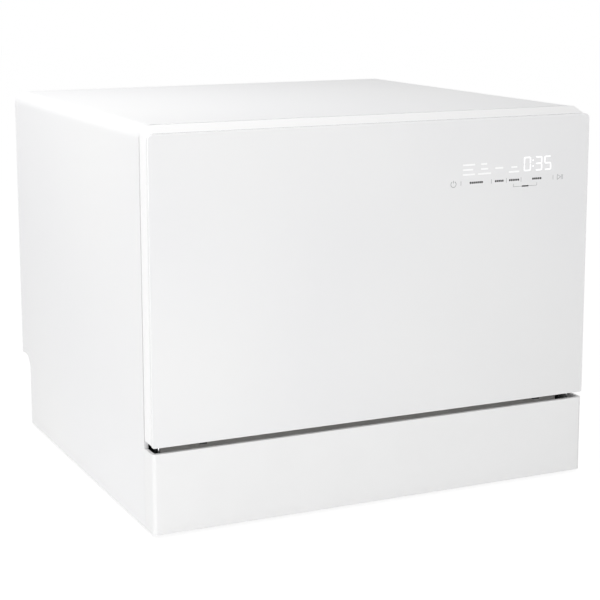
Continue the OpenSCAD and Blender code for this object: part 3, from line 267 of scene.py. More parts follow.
def circuitBoard():
    # glass-fibre board under green lacquer, with paler copper lines beneath it
    values = {"field": 11.11, "lacquer": ("#245C3F", "#2E6E4C"), "copper": "#5D8F62"}
    material, tree, place, shader = startMaterial("greenLacquerBoard", {"IOR": 1.5, "Roughness": 0.4})
    lines = addNode(tree, "ShaderNodeTexBrick", {
        "Scale": 1000 / values["field"], "Color1": linear(values["lacquer"][0]),
        "Color2": linear(values["lacquer"][1]), "Mortar": linear(values["copper"]),
        "Mortar Size": 0.06}, {"Vector": place})
    connect(tree, shader, {"Base Color": lines})
    return material


def bitumenMat():
    # pressed bitumen felt: near black and grainy
    values = {"grit": 2.5, "gritHeight": 0.3, "dark": "#141414", "light": "#333333"}
    material, tree, place, shader = startMaterial("bitumenFelt", {"Roughness": 0.9})
    grit = addNode(tree, "ShaderNodeTexNoise", {
        "Scale": 1000 / values["grit"], "Detail": 6}, {"Vector": place})
    tone = addNode(tree, "ShaderNodeValToRGB", links={"Fac": grit}, stops=[
        (0.4, values["dark"]), (0.7, values["light"])])
    bump = addNode(tree, "ShaderNodeBump", {
        "Strength": 0.8, "Distance": values["gritHeight"] * mm}, {"Height": grit})
    connect(tree, shader, {"Base Color": tone, "Normal": bump})
    return material


def printedInk(name, colour, shade):
    # screen-printed ink on the back of the glass, seen through it
    values = {"dot": 1.111}
    material, tree, place, shader = startMaterial(name, {"IOR": 1.5, "Roughness": 0.12})
    dots = addNode(tree, "ShaderNodeTexNoise", {
        "Scale": 1000 / values["dot"], "Detail": 1}, {"Vector": place})
    tone = addNode(tree, "ShaderNodeValToRGB", links={"Fac": dots}, stops=[(0.2, shade), (0.8, colour)])
    connect(tree, shader, {"Base Color": tone})
    return material


def litLegend(name, colour, shade, strength):
    # white light through a thinned spot in the paint: a soft glow, a little uneven
    values = {"glow": 8.333, "paint": "#F4F4F4"}
    material, tree, place, shader = startMaterial(name, {
        "Base Color": linear(values["paint"]), "Roughness": 0.12, "Emission Strength": strength})
    glow = addNode(tree, "ShaderNodeTexNoise", {
        "Scale": 1000 / values["glow"], "Detail": 0}, {"Vector": place})
    tone = addNode(tree, "ShaderNodeValToRGB", links={"Fac": glow}, stops=[(0.2, shade), (0.8, colour)])
    connect(tree, shader, {"Emission Color": tone})
    return material


finish = {
    "enamel": powderCoat("powderCoatedSteelWhite", "#F2F2F2", "#F0F0F1"),
    "greyCoat": powderCoat("powderCoatedSteelGrey", "#D2D0CE", "#CCCAC8"),
    "glass": backPaintedGlass(),
    "whiteAbs": mouldedPlastic("mouldedAbsWhite", "#F1F1F1", "#F0F0F0", 0.42, 0.8, 0.006),
    # the same white ABS as the plinth, made lighter and glossier for the door frame: its lighter colour is
    # a painted highlight on the door's side strip
    "paintedHighlightAbs": mouldedPlastic("mouldedAbsPaintedHighlight", "#FAFAFA", "#F9F9F9", 0.34, 0.8, 0.006),
    "innerGrey": mouldedPlastic("mouldedPolypropyleneLight", "#D9DBDC", "#CDD0D1", 0.45, 0.9, 0.03),
    "midGrey": mouldedPlastic("mouldedPolypropyleneGrey", "#8B9094", "#7E8387", 0.45, 0.9, 0.03),
    "basketGrey": mouldedPlastic("mouldedPolypropyleneBasket", "#B9BEC2", "#ACB1B5", 0.42, 0.9, 0.03),
    "darkGrey": mouldedPlastic("mouldedPolypropyleneDark", "#3C3E41", "#323437", 0.5, 1.0, 0.04),
    "blueGrey": mouldedPlastic("mouldedAcetalBlue", "#4F719C", "#446590", 0.38, 0.7, 0.02),
    "tubSteel": brushedStainless("brushedStainlessTub", (0.02, 1.0, 1.0), "#C9CBCC", "#B4B6B8", 0.3),
    "linerSteel": brushedStainless("brushedStainlessLiner", (1.0, 1.0, 0.02), "#CDCFD0", "#BBBDBF", 0.27),
    "zinc": zincSheet(),
    "brightSteel": turnedMetal("brightTurnedSteel", "#C6C9CB", "#9FA3A6", 0.3),
    "polishedSteel": turnedMetal("polishedSteel", "#F0F1F2", "#E6E8EA", 0.12),
    "brass": turnedMetal("turnedBrass", "#C9A75A", "#A98843", 0.28),
    "blackSteel": blackenedSteel(),
    "sealRubber": mouldedRubber("mouldedRubberGrey", "#76797C", "#65686B"),
    "blackRubber": mouldedRubber("mouldedRubberBlack", "#2E2E2F", "#202021"),
    "whiteRubber": mouldedRubber("mouldedRubberWhite", "#F6F6F6", "#F1F1F1"),
    "wire": coatedWire(),
    "perforated": perforatedStainless(),
    "board": circuitBoard(),
    "bitumen": bitumenMat(),
    "greyInk": printedInk("printedInkGrey", "#9A9A9C", "#8E8E90"),
    "darkInk": printedInk("printedInkDark", "#161617", "#0C0C0D"),
    "digitGlow": litLegend("litDigitsWhite", "#F6F8FF", "#FFFFFF", 0.35),
    "legendGlow": litLegend("litLegendsWhite", "#FFFFFF", "#F2F3F6", 0.12),
}
print("materials made:", len(finish))


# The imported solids, each with its finish

solidFinish = {
    "enamel": ["cabinet_wrap"],
    "whiteAbs": ["plinth_panel"],
    # the door frame takes the lighter copy of the white ABS: painted highlight
    "paintedHighlightAbs": ["door_frame"],
    "zinc": ["rear_panel", "door_hinge_left", "door_hinge_right"],
    "brightSteel": ["rear_screws", "hinge_pins", "hinge_springs", "latch_bolt", "door_striker",
                    "flow_heater"],
    "darkGrey": ["base_tray", "sump", "spray_nut"],
    "blackRubber": ["feet"],
    "greyCoat": ["front_crossbar"],
    "blackSteel": ["hinge_bracket_left", "hinge_bracket_right"],
    "tubSteel": ["tub_wrap", "tub_back", "tub_floor", "tub_front_frame", "tub_sill"],
    "linerSteel": ["door_liner"],
    "innerGrey": ["rack_rails", "rail_guides", "latch_housing", "inlet_valve", "float_cup",
                  "detergent_dispenser", "dispenser_lid", "wheel_brackets"],
    "midGrey": ["spray_column", "filter_cup", "wash_pump", "drain_pump", "lid_button", "wheel_front_left",
                "wheel_front_right", "wheel_back_left", "wheel_back_right"],
    "basketGrey": ["cup_shelf", "cutlery_basket"],
    "blueGrey": ["rinse_cap"],
    "bitumen": ["sound_mat"],
    "perforated": ["flat_filter"],
    "board": ["control_board"],
    "wire": ["rack_floor", "rack_front", "rack_back", "rack_left", "rack_right", "plate_tines"],
}
creaseAngle = 30  # degrees from which a solid's edge is drawn sharp


def smoothSolid(solid):
    # merges the loose triangles for shading only, so that round walls look round
    solid.data.shade_smooth()
    weld = solid.modifiers.new("weld", "WELD")
    weld.merge_threshold = joinDistance
    split = solid.modifiers.new("creases", "EDGE_SPLIT")
    split.split_angle = math.radians(creaseAngle)
    split.use_edge_sharp = False
    normals = solid.modifiers.new("faceNormals", "WEIGHTED_NORMAL")
    normals.keep_sharp = True


for finishName, nodeNames in solidFinish.items():
    for nodeName in nodeNames:
        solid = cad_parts[nodeName]
        solid.data.materials.clear()
        solid.data.materials.append(finish[finishName])
        smoothSolid(solid)
print("finishes given to the solids")


# New pieces

def placePiece(name, bm, body, material, stands=(), smooth=35):
    # finishes a mesh, gives it its body and its slot, and hides the solids that it stands for
    bmesh.ops.remove_doubles(bm, verts=bm.verts, dist=joinDistance)
    bmesh.ops.recalc_face_normals(bm, faces=bm.faces)
    mesh = bpy.data.meshes.new(name)
    bm.to_mesh(mesh)
    bm.free()
    mesh.shade_smooth()
    mesh.set_sharp_from_angle(angle=math.radians(smooth))
    piece = bpy.data.objects.new(name, mesh)
    bpy.context.scene.collection.objects.link(piece)
    mesh.materials.append(finish[material])
    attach(piece, body)
    if stands:
        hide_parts(*stands)


def addBlock(bm, low, high):
    made = bmesh.ops.create_cube(bm, size=1.0)["verts"]
    size = [b - a for a, b in zip(low, high)]
    centre = [(a + b) / 2 for a, b in zip(low, high)]
    bmesh.ops.scale(bm, vec=size, verts=made)
    bmesh.ops.translate(bm, vec=centre, verts=made)
    return made


def edgesOf(verts):
    return list({edge for vert in verts for edge in vert.link_edges})


def edgesAlong(verts, axis):
    # the edges that run along one axis: 0 for X, 1 for Y, 2 for Z
    found = []
    for edge in edgesOf(verts):
        way = (edge.verts[1].co - edge.verts[0].co).normalized()
        if abs(way[axis]) > 0.99:  # the cosine of a lean of 8 degrees
            found.append(edge)
    return found


def bevelEdges(bm, edges, offset, segments):
    # rounds edges off, offset in mm
    bmesh.ops.bevel(bm, geom=edges, offset=offset * mm, affect="EDGES", segments=segments, profile=0.5,
                    material=-1)


def middleOf(low, high):
    return Vector([(a + b) / 2 for a, b in zip(low, high)])


def fromFace(start, points, way=1):
    # a turned outline's (distance, radius) pairs in mm, measured from a face along Y
    return [(start + way * distance * mm, radius * mm) for distance, radius in points]


def spinRing(bm, profile, centre, axis, steps):
    # a closed ring turned from an outline of (along the axis, radius) pairs
    axis = Vector(axis)
    side = axis.orthogonal().normalized()
    verts = [bm.verts.new(Vector(centre) + axis * a + side * r) for a, r in profile]
    edges = [bm.edges.new((verts[i], verts[i + 1])) for i in range(len(verts) - 1)]
    bmesh.ops.spin(bm, geom=verts + edges, cent=centre, axis=axis, dvec=(0, 0, 0),
                   angle=math.tau, steps=steps, use_merge=True, use_duplicate=False)


def sweepRing(bm, outline, half, low, high, topRadius, lowRadius, steps):
    # an outline of (out from the opening, y) pairs carried round a rounded rectangle in X and Z
    verts = [bm.verts.new((-half - out, y, low + lowRadius)) for out, y in outline]
    edges = [bm.edges.new((verts[i], verts[(i + 1) % len(verts)])) for i in range(len(verts))]
    last = verts + edges
    rise = high - topRadius - low - lowRadius
    corners = [
        ((0, 0, rise), (-half + topRadius, high - topRadius)),
        ((2 * (half - topRadius), 0, 0), (half - topRadius, high - topRadius)),
        ((0, 0, -rise), (half - lowRadius, low + lowRadius)),
        ((-2 * (half - lowRadius), 0, 0), (-half + lowRadius, low + lowRadius)),
    ]
    for run, (x, z) in corners:
        lastEdges = [g for g in last if isinstance(g, bmesh.types.BMEdge)]
        grown = bmesh.ops.extrude_edge_only(bm, edges=lastEdges)["geom"]
        grownVerts = [g for g in grown if isinstance(g, bmesh.types.BMVert)]
        bmesh.ops.translate(bm, vec=run, verts=grownVerts)
        inRing = set(grownVerts)
        ring = grownVerts + [g for g in grown if isinstance(g, bmesh.types.BMEdge)
                             and g.verts[0] in inRing and g.verts[1] in inRing]
        last = bmesh.ops.spin(bm, geom=ring, cent=(x, 0, z), axis=(0, 1, 0), dvec=(0, 0, 0),
                              angle=math.pi / 2, steps=steps, use_merge=False,
                              use_duplicate=False)["geom_last"]


# The front plate, with its rounded corners

frontLow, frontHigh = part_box("door_plate")

doorPlate = {
    "topRadius": 6.5, "topSegments": 12, "lowRadius": 2.5, "lowSegments": 8,
    "faceBevel": 0.9, "faceSegments": 4, "rearBevel": 0.5, "inkThickness": 0.06,
}


def makeDoorPlate():
    bm = bmesh.new()
    low = Vector(frontLow)
    low.y += doorPlate["inkThickness"] * mm
    verts = addBlock(bm, low, frontHigh)
    corners = edgesAlong(verts, 1)
    middle = (frontLow.z + frontHigh.z) / 2
    upper = [e for e in corners if e.verts[0].co.z > middle]
    lower = [e for e in corners if e.verts[0].co.z < middle]
    bevelEdges(bm, upper, doorPlate["topRadius"], doorPlate["topSegments"])
    bevelEdges(bm, lower, doorPlate["lowRadius"], doorPlate["lowSegments"])
    front = [e for e in bm.edges if all(v.co.y < low.y + touching for v in e.verts)]
    bevelEdges(bm, front, doorPlate["faceBevel"], doorPlate["faceSegments"])
    rear = [e for e in bm.edges if all(v.co.y > frontHigh.y - touching for v in e.verts)]
    bevelEdges(bm, rear, doorPlate["rearBevel"], 1)
    placePiece("doorPlate", bm, "door", "glass", ["door_plate"])


makeDoorPlate()


# Marks on the touch panel, in mm on the door's face, each label as a row of small blocks

panelMarks = {
    "baseline": 365.3,
    "dividers": [101.2, 141.7, 161.9, 181.7, 225.7],
    "dividerSize": (0.44, 5.2),
    "labels": [(112.8, 130.2, 7), (146.4, 157.9, 5), (165.4, 179.1, 6), (197.0, 209.5, 5)],
    "labelHeight": 2.3, "labelGap": 0.5, "labelCorner": 0.25,
    "legendRows": [386.0, 380.4, 374.9],
    "legends": [(103.4, 119.4, 0), (103.4, 117.0, 1), (103.4, 119.4, 2),
                (127.5, 135.5, 0), (127.5, 137.0, 1), (123.5, 141.0, 2),
                (146.3, 157.2, 1), (168.1, 176.3, 1), (164.8, 179.1, 2)],
    "legendHeight": 1.9, "legendCorner": 0.45,
}
powerMark = {"centre": (91.4, 364.7), "radius": 3.4, "stroke": 0.6, "start": 120, "sweep": 300,
             "arcSteps": 24, "stemLow": 1.2, "stemHigh": 4.2}
playMark = {"centre": (235.7, 365.3), "half": 2.9, "back": -4.0, "tip": 0.6, "stroke": 0.5,
            "bars": (1.4, 3.2)}
bracketMark = {"left": 171.5, "right": 203.4, "low": 357.4, "high": 360.6, "stroke": 0.4,
               "labelWidth": 9.2, "labelHeight": 1.5, "labelCorner": 0.4}
digitMarks = {
    "left": 185.2, "low": 374.6, "width": 9.6, "height": 16.6, "stroke": 1.45,
    "point": 0.6, "corner": 0.45,  # as shares of the stroke
    "split": 0.3, "endGap": 0.5,  # between upright segments, and at their outer ends
    "places": [("0", 0.0), ("3", 15.4), ("5", 28.0)],
    "colonX": 11.6, "colonSize": 1.8, "colonHeights": (0.28, 0.68), "colonCorner": 0.6,
}
digitSegments = {
    "0": ["top", "low", "upLeft", "upRight", "lowLeft", "lowRight"],
    "3": ["top", "mid", "low", "upRight", "lowRight"],
    "5": ["top", "mid", "low", "upLeft", "lowRight"],
}
inkBack = frontLow.y + doorPlate["inkThickness"] * mm + joinDistance
inkFront = frontLow.y


def addMark(bm, x0, x1, z0, z1, corner=0.0, segments=3):
    verts = addBlock(bm, (x0 * mm, inkFront, z0 * mm), (x1 * mm, inkBack, z1 * mm))
    if corner:
        bevelEdges(bm, edgesAlong(verts, 1), corner, segments)


def addStroke(bm, start, end, width):
    # a straight stroke of ink between two places on the door's face
    length = math.dist(start, end)
    low = (-length / 2 * mm, inkFront, -width / 2 * mm)
    high = (length / 2 * mm, inkBack, width / 2 * mm)
    verts = addBlock(bm, low, high)
    lean = math.atan2(end[1] - start[1], end[0] - start[0])
    bmesh.ops.rotate(bm, cent=(0, 0, 0), matrix=Matrix.Rotation(-lean, 3, "Y"), verts=verts)
    middle = ((start[0] + end[0]) / 2 * mm, 0, (start[1] + end[1]) / 2 * mm)
    bmesh.ops.translate(bm, vec=middle, verts=verts)


def addArc(bm, centre, radius, width, start, sweep, steps):
    # a flat ring segment on the door's face, turned from a small rectangle
    middle = Vector((centre[0] * mm, 0, centre[1] * mm))
    way = Vector((math.cos(start), 0, math.sin(start)))
    corners = []
    for r in (radius - width / 2, radius + width / 2):
        for y in (inkFront, inkBack):
            spot = middle + way * r * mm
            corners.append(bm.verts.new((spot.x, y, spot.z)))
    face = bm.faces.new((corners[0], corners[1], corners[3], corners[2]))
    geom = corners + list(face.edges) + [face]
    bmesh.ops.spin(bm, geom=geom, cent=middle, axis=(0, -1, 0), dvec=(0, 0, 0), angle=sweep, steps=steps,
                   use_merge=False, use_duplicate=False)


def makePanelLines():
    # the thin grey marks: dividers, the power and play signs, and the bracket under the labels
    bm = bmesh.new()
    base = panelMarks["baseline"]
    width, height = panelMarks["dividerSize"]
    for x in panelMarks["dividers"]:
        addMark(bm, x - width / 2, x + width / 2, base - height / 2, base + height / 2)

    x, z = powerMark["centre"]
    half = powerMark["stroke"] / 2
    addArc(bm, (x, z), powerMark["radius"], powerMark["stroke"], math.radians(powerMark["start"]),
           math.radians(powerMark["sweep"]), powerMark["arcSteps"])
    addMark(bm, x - half, x + half, z + powerMark["stemLow"], z + powerMark["stemHigh"])

    x, z = playMark["centre"]
    half = playMark["half"]
    stroke = playMark["stroke"]
    for bar in playMark["bars"]:
        addMark(bm, x + bar, x + bar + stroke, z - half, z + half)
    back = x + playMark["back"]
    corners = [(back, z - half), (back, z + half), (x + playMark["tip"], z)]
    for i in range(3):
        addStroke(bm, corners[i], corners[(i + 1) % 3], stroke)

    left, right, low = bracketMark["left"], bracketMark["right"], bracketMark["low"]
    half = bracketMark["stroke"] / 2
    addMark(bm, left, right, low - half, low + half)
    for x in (left, right):
        addMark(bm, x - half, x + half, low, bracketMark["high"])
    placePiece("panelLinesGrey", bm, "door", "greyInk")


def makePanelLabels():
    bm = bmesh.new()
    base = panelMarks["baseline"]
    half = panelMarks["labelHeight"] / 2
    gap = panelMarks["labelGap"]
    for x0, x1, count in panelMarks["labels"]:
        step = (x1 - x0 + gap) / count
        for i in range(count):
            start = x0 + i * step
            addMark(bm, start, start + step - gap, base - half, base + half, panelMarks["labelCorner"], 2)
    middle = (bracketMark["left"] + bracketMark["right"]) / 2
    half = bracketMark["labelWidth"] / 2
    rise = bracketMark["labelHeight"] / 2
    low = bracketMark["low"]
    addMark(bm, middle - half, middle + half, low - rise, low + rise, bracketMark["labelCorner"])
    placePiece("panelLabelsDark", bm, "door", "darkInk")


def makePanelLegends():
    bm = bmesh.new()
    half = panelMarks["legendHeight"] / 2
    for x0, x1, row in panelMarks["legends"]:
        z = panelMarks["legendRows"][row]
        addMark(bm, x0, x1, z - half, z + half, panelMarks["legendCorner"])
    placePiece("panelLegendsLit", bm, "door", "legendGlow")


def makePanelDigits():
    # digits 0:35 on seven segments, each segment a bar with pointed ends
    bm = bmesh.new()
    width, height, t = digitMarks["width"], digitMarks["height"], digitMarks["stroke"]
    point = t * digitMarks["point"]
    split = digitMarks["split"]
    end = digitMarks["endGap"]
    middle = height / 2
    segments = {
        "top": (point, height - t, width - point, height),
        "mid": (point, middle - t / 2, width - point, middle + t / 2),
        "low": (point, 0, width - point, t),
        "upLeft": (0, middle + split, t, height - end),
        "upRight": (width - t, middle + split, width, height - end),
        "lowLeft": (0, end, t, middle - split),
        "lowRight": (width - t, end, width, middle - split),
    }
    left, low = digitMarks["left"], digitMarks["low"]
    for digit, x in digitMarks["places"]:
        for name in digitSegments[digit]:
            x0, z0, x1, z1 = segments[name]
            addMark(bm, left + x + x0, left + x + x1, low + z0, low + z1, t * digitMarks["corner"], 1)
    x = left + digitMarks["colonX"]
    size = digitMarks["colonSize"]
    for share in digitMarks["colonHeights"]:
        z = low + height * share
        addMark(bm, x, x + size, z, z + size, digitMarks["colonCorner"])
    placePiece("panelDigitsLit", bm, "door", "digitGlow")


makePanelLines()
makePanelLabels()
makePanelLegends()
makePanelDigits()
print("front plate and touch panel made")


# Seen in the gap under the door: a bright link at each hinge, and two black blocks where the bar shows
# dark notches, their black a painted shade

hingeLink = {"radius": 1.1, "top": (261.6, -240.9, 102.5), "foot": (263.9, -244.2, 86.0), "segments": 20,
             "core": 0.2, "shoulder": (0.5, 0.8)}  # core and shoulder are shares of the radius
notchShadeBlock = {"x": 214, "width": 8.5, "front": -251.0, "back": -244.0, "low": 97.2, "neck": 99.4,
            "high": 101.7, "edge": 0.35, "neckShare": 0.6, "neckInset": 2.0}


def makeHingeLinks():
    bm = bmesh.new()
    r = hingeLink["radius"] * mm
    core = hingeLink["core"] * r
    along, out = hingeLink["shoulder"]
    for side in (-1, 1):
        top = Vector(hingeLink["top"]) * mm
        foot = Vector(hingeLink["foot"]) * mm
        top.x *= side
        foot.x *= side
        span = (top - foot).length
        profile = [(0, core), (along * r, out * r), (r, r), (span, r), (span, core)]
        spinRing(bm, profile, foot, (top - foot).normalized(), hingeLink["segments"])
    placePiece("hingeLinks", bm, "cabinet", "polishedSteel")


# two black blocks where the bar shows dark notches: painted shade of the notches
def makeNotchShadeBlocks():
    bm = bmesh.new()
    half = notchShadeBlock["width"] / 2 * mm
    neckHalf = half * notchShadeBlock["neckShare"]
    inset = notchShadeBlock["neckInset"] * mm
    front, back = notchShadeBlock["front"] * mm, notchShadeBlock["back"] * mm
    low, neck, high = notchShadeBlock["low"] * mm, notchShadeBlock["neck"] * mm, notchShadeBlock["high"] * mm
    for side in (-1, 1):
        x = side * notchShadeBlock["x"] * mm
        foot = addBlock(bm, (x - half, front, low), (x + half, back, neck))
        bevelEdges(bm, edgesOf(foot), notchShadeBlock["edge"], 2)
        addBlock(bm, (x - neckHalf, front + inset, neck), (x + neckHalf, back - inset, high))
    placePiece("notchShadeBlocks", bm, "door", "blackRubber")


makeHingeLinks()
makeNotchShadeBlocks()
print("hinge links and door stops made")


# Along the door's top: a white lip that closes the seam to the cabinet, and the joint behind the plate

doorTopLip = {"half": 257, "front": -231.45, "back": -230.15, "low": 438.0, "high": 445.3, "edge": 0.25}
doorPlateJoint = {"half": 267, "front": -252.95, "back": -251.7, "low": 437.6, "high": 438.46,
                  "edge": 0.1}


def makeStrip(name, values, material):
    bm = bmesh.new()
    low = (-values["half"] * mm, values["front"] * mm, values["low"] * mm)
    high = (values["half"] * mm, values["back"] * mm, values["high"] * mm)
    bevelEdges(bm, edgesAlong(addBlock(bm, low, high), 0), values["edge"], 2)
    placePiece(name, bm, "door", material)


makeStrip("doorTopLip", doorTopLip, "whiteRubber")
makeStrip("doorPlateJoint", doorPlateJoint, "sealRubber")
print("door's top seam made")


# The door seal: a rubber bulb on a grooved base, carried round the tub's opening

sealLow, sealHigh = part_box("door_seal")

doorSeal = {
    "inset": 1.5, "width": 8.0, "openingRadius": 28, "lowRadius": 5, "cornerSteps": 10, "smooth": 50,
    # outlines in mm, out from the seal's edge and then forward of its back or behind its front
    "outerSide": [(0, 0), (8, 0), (8, 2), (6.9, 3), (7.6, 4.2)],
    "nose": [(7.1, 2.2), (5.6, 0.6), (4, 0), (2.2, 0.7), (0.7, 2.3)],
    "innerSide": [(0.5, 4.2), (1.4, 3), (0, 2)],
}


def makeDoorSeal():
    bm = bmesh.new()
    inset = doorSeal["inset"] * mm
    outline = [(inset + out * mm, sealHigh.y - depth * mm) for out, depth in doorSeal["outerSide"]]
    outline += [(inset + out * mm, sealLow.y + depth * mm) for out, depth in doorSeal["nose"]]
    outline += [(inset + out * mm, sealHigh.y - depth * mm) for out, depth in doorSeal["innerSide"]]
    reach = inset + doorSeal["width"] * mm
    sweepRing(bm, outline, sealHigh.x - reach, sealLow.z + reach, sealHigh.z - reach,
              doorSeal["openingRadius"] * mm, doorSeal["lowRadius"] * mm, doorSeal["cornerSteps"])
    placePiece("doorSealBellows", bm, "cabinet", "sealRubber", ["door_seal"],
               doorSeal["smooth"])


makeDoorSeal()


# The spray arm: two blades that taper and sweep back, each with a row of jets, on a turned hub

armLow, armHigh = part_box("spray_arm")

sprayArm = {
    "rootWidth": 36, "tipWidth": 19, "halfHeight": 4.6, "sides": 20, "sections": 9, "flatten": 0.35,
    "rootX": 8, "endRoom": 12, "sweep": 0.75,
    "tip": [(5, 0.86), (4, 0.7), (2, 0.5)],  # forward in mm, and the share that the section keeps
    "jets": 6, "firstJet": 44, "jetPitch": 23, "jetRadii": (3.4, 2.4), "jetHeight": 1.6, "jetSides": 16,
    "jetLevel": 4.0, "jetSweep": 0.8, "jetRim": 1.2, "jetDepth": 1.3,
    "bore": 6.05, "hubRadius": 20, "hubSteps": 48, "smooth": 40,
    # hub outlines: mm from its lower and upper face, and a share of the hub's radius
    "hubFoot": [(0, 0.7), (1.2, 0.8), (2.4, 1)],
    "hubHead": [(4, 1), (2.5, 0.94), (1.6, 0.74), (0, 0.66)],
}


def pushFace(bm, face, step, keep):
    # carries a section forward and shrinks it about its middle
    face = bmesh.ops.extrude_discrete_faces(bm, faces=[face])["faces"][0]
    bmesh.ops.translate(bm, vec=step, verts=face.verts)
    space = Matrix.Translation(-face.calc_center_median())
    bmesh.ops.scale(bm, vec=(1, *keep), space=space, verts=face.verts)
    return face


def addBlade(bm, centre, reach, turn):
    blade = bmesh.new()
    ring = bmesh.ops.create_circle(blade, segments=sprayArm["sides"], radius=1.0, cap_ends=True)["verts"]
    bmesh.ops.rotate(blade, cent=(0, 0, 0), matrix=Matrix.Rotation(math.pi / 2, 3, "Y"), verts=ring)
    size = (1, sprayArm["rootWidth"] / 2 * mm, sprayArm["halfHeight"] * mm)
    bmesh.ops.scale(blade, vec=size, verts=ring)
    bmesh.ops.translate(blade, vec=(sprayArm["rootX"] * mm, 0, 0), verts=ring)
    face = ring[0].link_faces[0]
    steps = sprayArm["sections"]
    run = (reach - sprayArm["endRoom"] * mm - sprayArm["rootX"] * mm) / steps
    sweep = sprayArm["sweep"] * mm
    shrink = (sprayArm["tipWidth"] / sprayArm["rootWidth"]) ** (1 / steps)
    for i in range(steps):
        face = pushFace(blade, face, (run, sweep, 0), (shrink, shrink ** sprayArm["flatten"]))
    for forward, share in sprayArm["tip"]:
        face = pushFace(blade, face, (forward * mm, 0, 0), (share, share))
    wide, narrow = sprayArm["jetRadii"]
    for i in range(sprayArm["jets"]):
        at = (sprayArm["firstJet"] + i * sprayArm["jetPitch"]) * mm
        jet = bmesh.ops.create_cone(blade, cap_ends=True, segments=sprayArm["jetSides"],
                                    radius1=wide * mm, radius2=narrow * mm,
                                    depth=sprayArm["jetHeight"] * mm)["verts"]
        across = sweep * at / run * sprayArm["jetSweep"]
        bmesh.ops.translate(blade, vec=(at, across, sprayArm["jetLevel"] * mm), verts=jet)
        top = max((f for v in jet for f in v.link_faces), key=lambda f: f.calc_center_median().z)
        bmesh.ops.inset_region(blade, faces=[top], thickness=sprayArm["jetRim"] * mm)
        bmesh.ops.translate(blade, vec=(0, 0, -sprayArm["jetDepth"] * mm), verts=top.verts)
    bmesh.ops.rotate(blade, cent=(0, 0, 0), matrix=Matrix.Rotation(turn, 3, "Z"), verts=blade.verts)
    bmesh.ops.translate(blade, vec=centre, verts=blade.verts)
    part = bpy.data.meshes.new("blade")
    blade.to_mesh(part)
    blade.free()
    bm.from_mesh(part)
    bpy.data.meshes.remove(part)


def makeSprayArm():
    bm = bmesh.new()
    centre = middleOf(armLow, armHigh)
    for turn in (0, math.pi):
        addBlade(bm, centre, (armHigh.x - armLow.x) / 2, turn)
    bore = sprayArm["bore"] * mm
    hub = sprayArm["hubRadius"] * mm
    half = (armHigh.z - armLow.z) / 2
    profile = [(-half, bore)]
    profile += [(-half + up * mm, hub * share) for up, share in sprayArm["hubFoot"]]
    profile += [(half - down * mm, hub * share) for down, share in sprayArm["hubHead"]]
    profile += [(half, bore), (-half, bore)]
    spinRing(bm, profile, centre, (0, 0, 1), sprayArm["hubSteps"])
    placePiece("sprayArmBlades", bm, "arm", "midGrey", ["spray_arm"], sprayArm["smooth"])


makeSprayArm()
print("door seal and spray arm made")


# Fittings in the hose recess, turned from outlines of (distance, radius) pairs in mm

waterInlet = {"radius": 13.2, "bore": 8, "threadPitch": 1.8, "threadDepth": 1.2, "firstThread": 3.6,
              "threadEnd": 0.8, "endBevel": 0.6, "collarWidth": 3.0, "collarBevel": (0.5, 0.4),
              "crest": (0.35, 0.5, 0.85), "segments": 64}
drainSpigot = {
    "wall": 31, "inside": [(0, 5.2), (0, 6.4), (0.4, 6.8)],
    "flange": [(0, 6.8), (0, 13.6), (0.4, 14), (2.6, 14), (3, 13.6), (3, 8.6)],
    "firstBarb": 6, "barbs": 4, "barbRadii": (8.6, 9.5, 8.4), "barbRise": 0.5, "barbShare": 0.9,
    "mouth": [(0, 7.6), (0, 5.8), (0.6, 5.2)], "segments": 48,
}
cordGland = {
    "wall": 13, "inside": [(0, 4.2), (0, 6.3), (0.5, 6.8)],
    "flange": [(0, 6.8), (0, 10.6), (0.4, 11), (2.4, 11), (3, 10.4), (3, 8.9)],
    "ribs": 3, "firstRib": 3.6, "ribPitch": 2.6, "ribRadius": 8.9, "ribTaper": 0.5,
    "groove": [(0, 0), (0.3, -1.1), (1.1, -1.1), (1.4, -0.2)],
    "mouth": [(0.4, 6.9), (0, 6.4), (0, 4.6), (0.4, 4.2)], "segments": 40,
}


def axisOf(low, high):
    # where a fitting's axis crosses the plane y = 0
    return Vector(((low.x + high.x) / 2, 0, (low.z + high.z) / 2))


def makeWaterInlet():
    low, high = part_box("water_inlet")
    collar = (high.x - low.x) / 2
    outer = waterInlet["radius"] * mm
    bore = waterInlet["bore"] * mm
    root = outer - waterInlet["threadDepth"] * mm
    width = waterInlet["collarWidth"] * mm
    frontBevel, rearBevel = [b * mm for b in waterInlet["collarBevel"]]
    profile = [(low.y, bore), (low.y, collar - frontBevel), (low.y + frontBevel, collar),
               (low.y + width - rearBevel, collar), (low.y + width, collar - rearBevel)]
    y = low.y + waterInlet["firstThread"] * mm
    pitch = waterInlet["threadPitch"] * mm
    rise, fall, foot = waterInlet["crest"]
    while y + pitch < high.y - waterInlet["threadEnd"] * mm:
        profile += [(y, root), (y + pitch * rise, outer), (y + pitch * fall, outer),
                    (y + pitch * foot, root)]
        y += pitch
    end = waterInlet["endBevel"] * mm
    profile += [(high.y - end, root), (high.y, root - end), (high.y, bore + end), (high.y - end, bore),
                (low.y, bore)]
    bm = bmesh.new()
    spinRing(bm, profile, axisOf(low, high), (0, 1, 0), waterInlet["segments"])
    placePiece("waterInletThread", bm, "cabinet", "brass", ["water_inlet"])


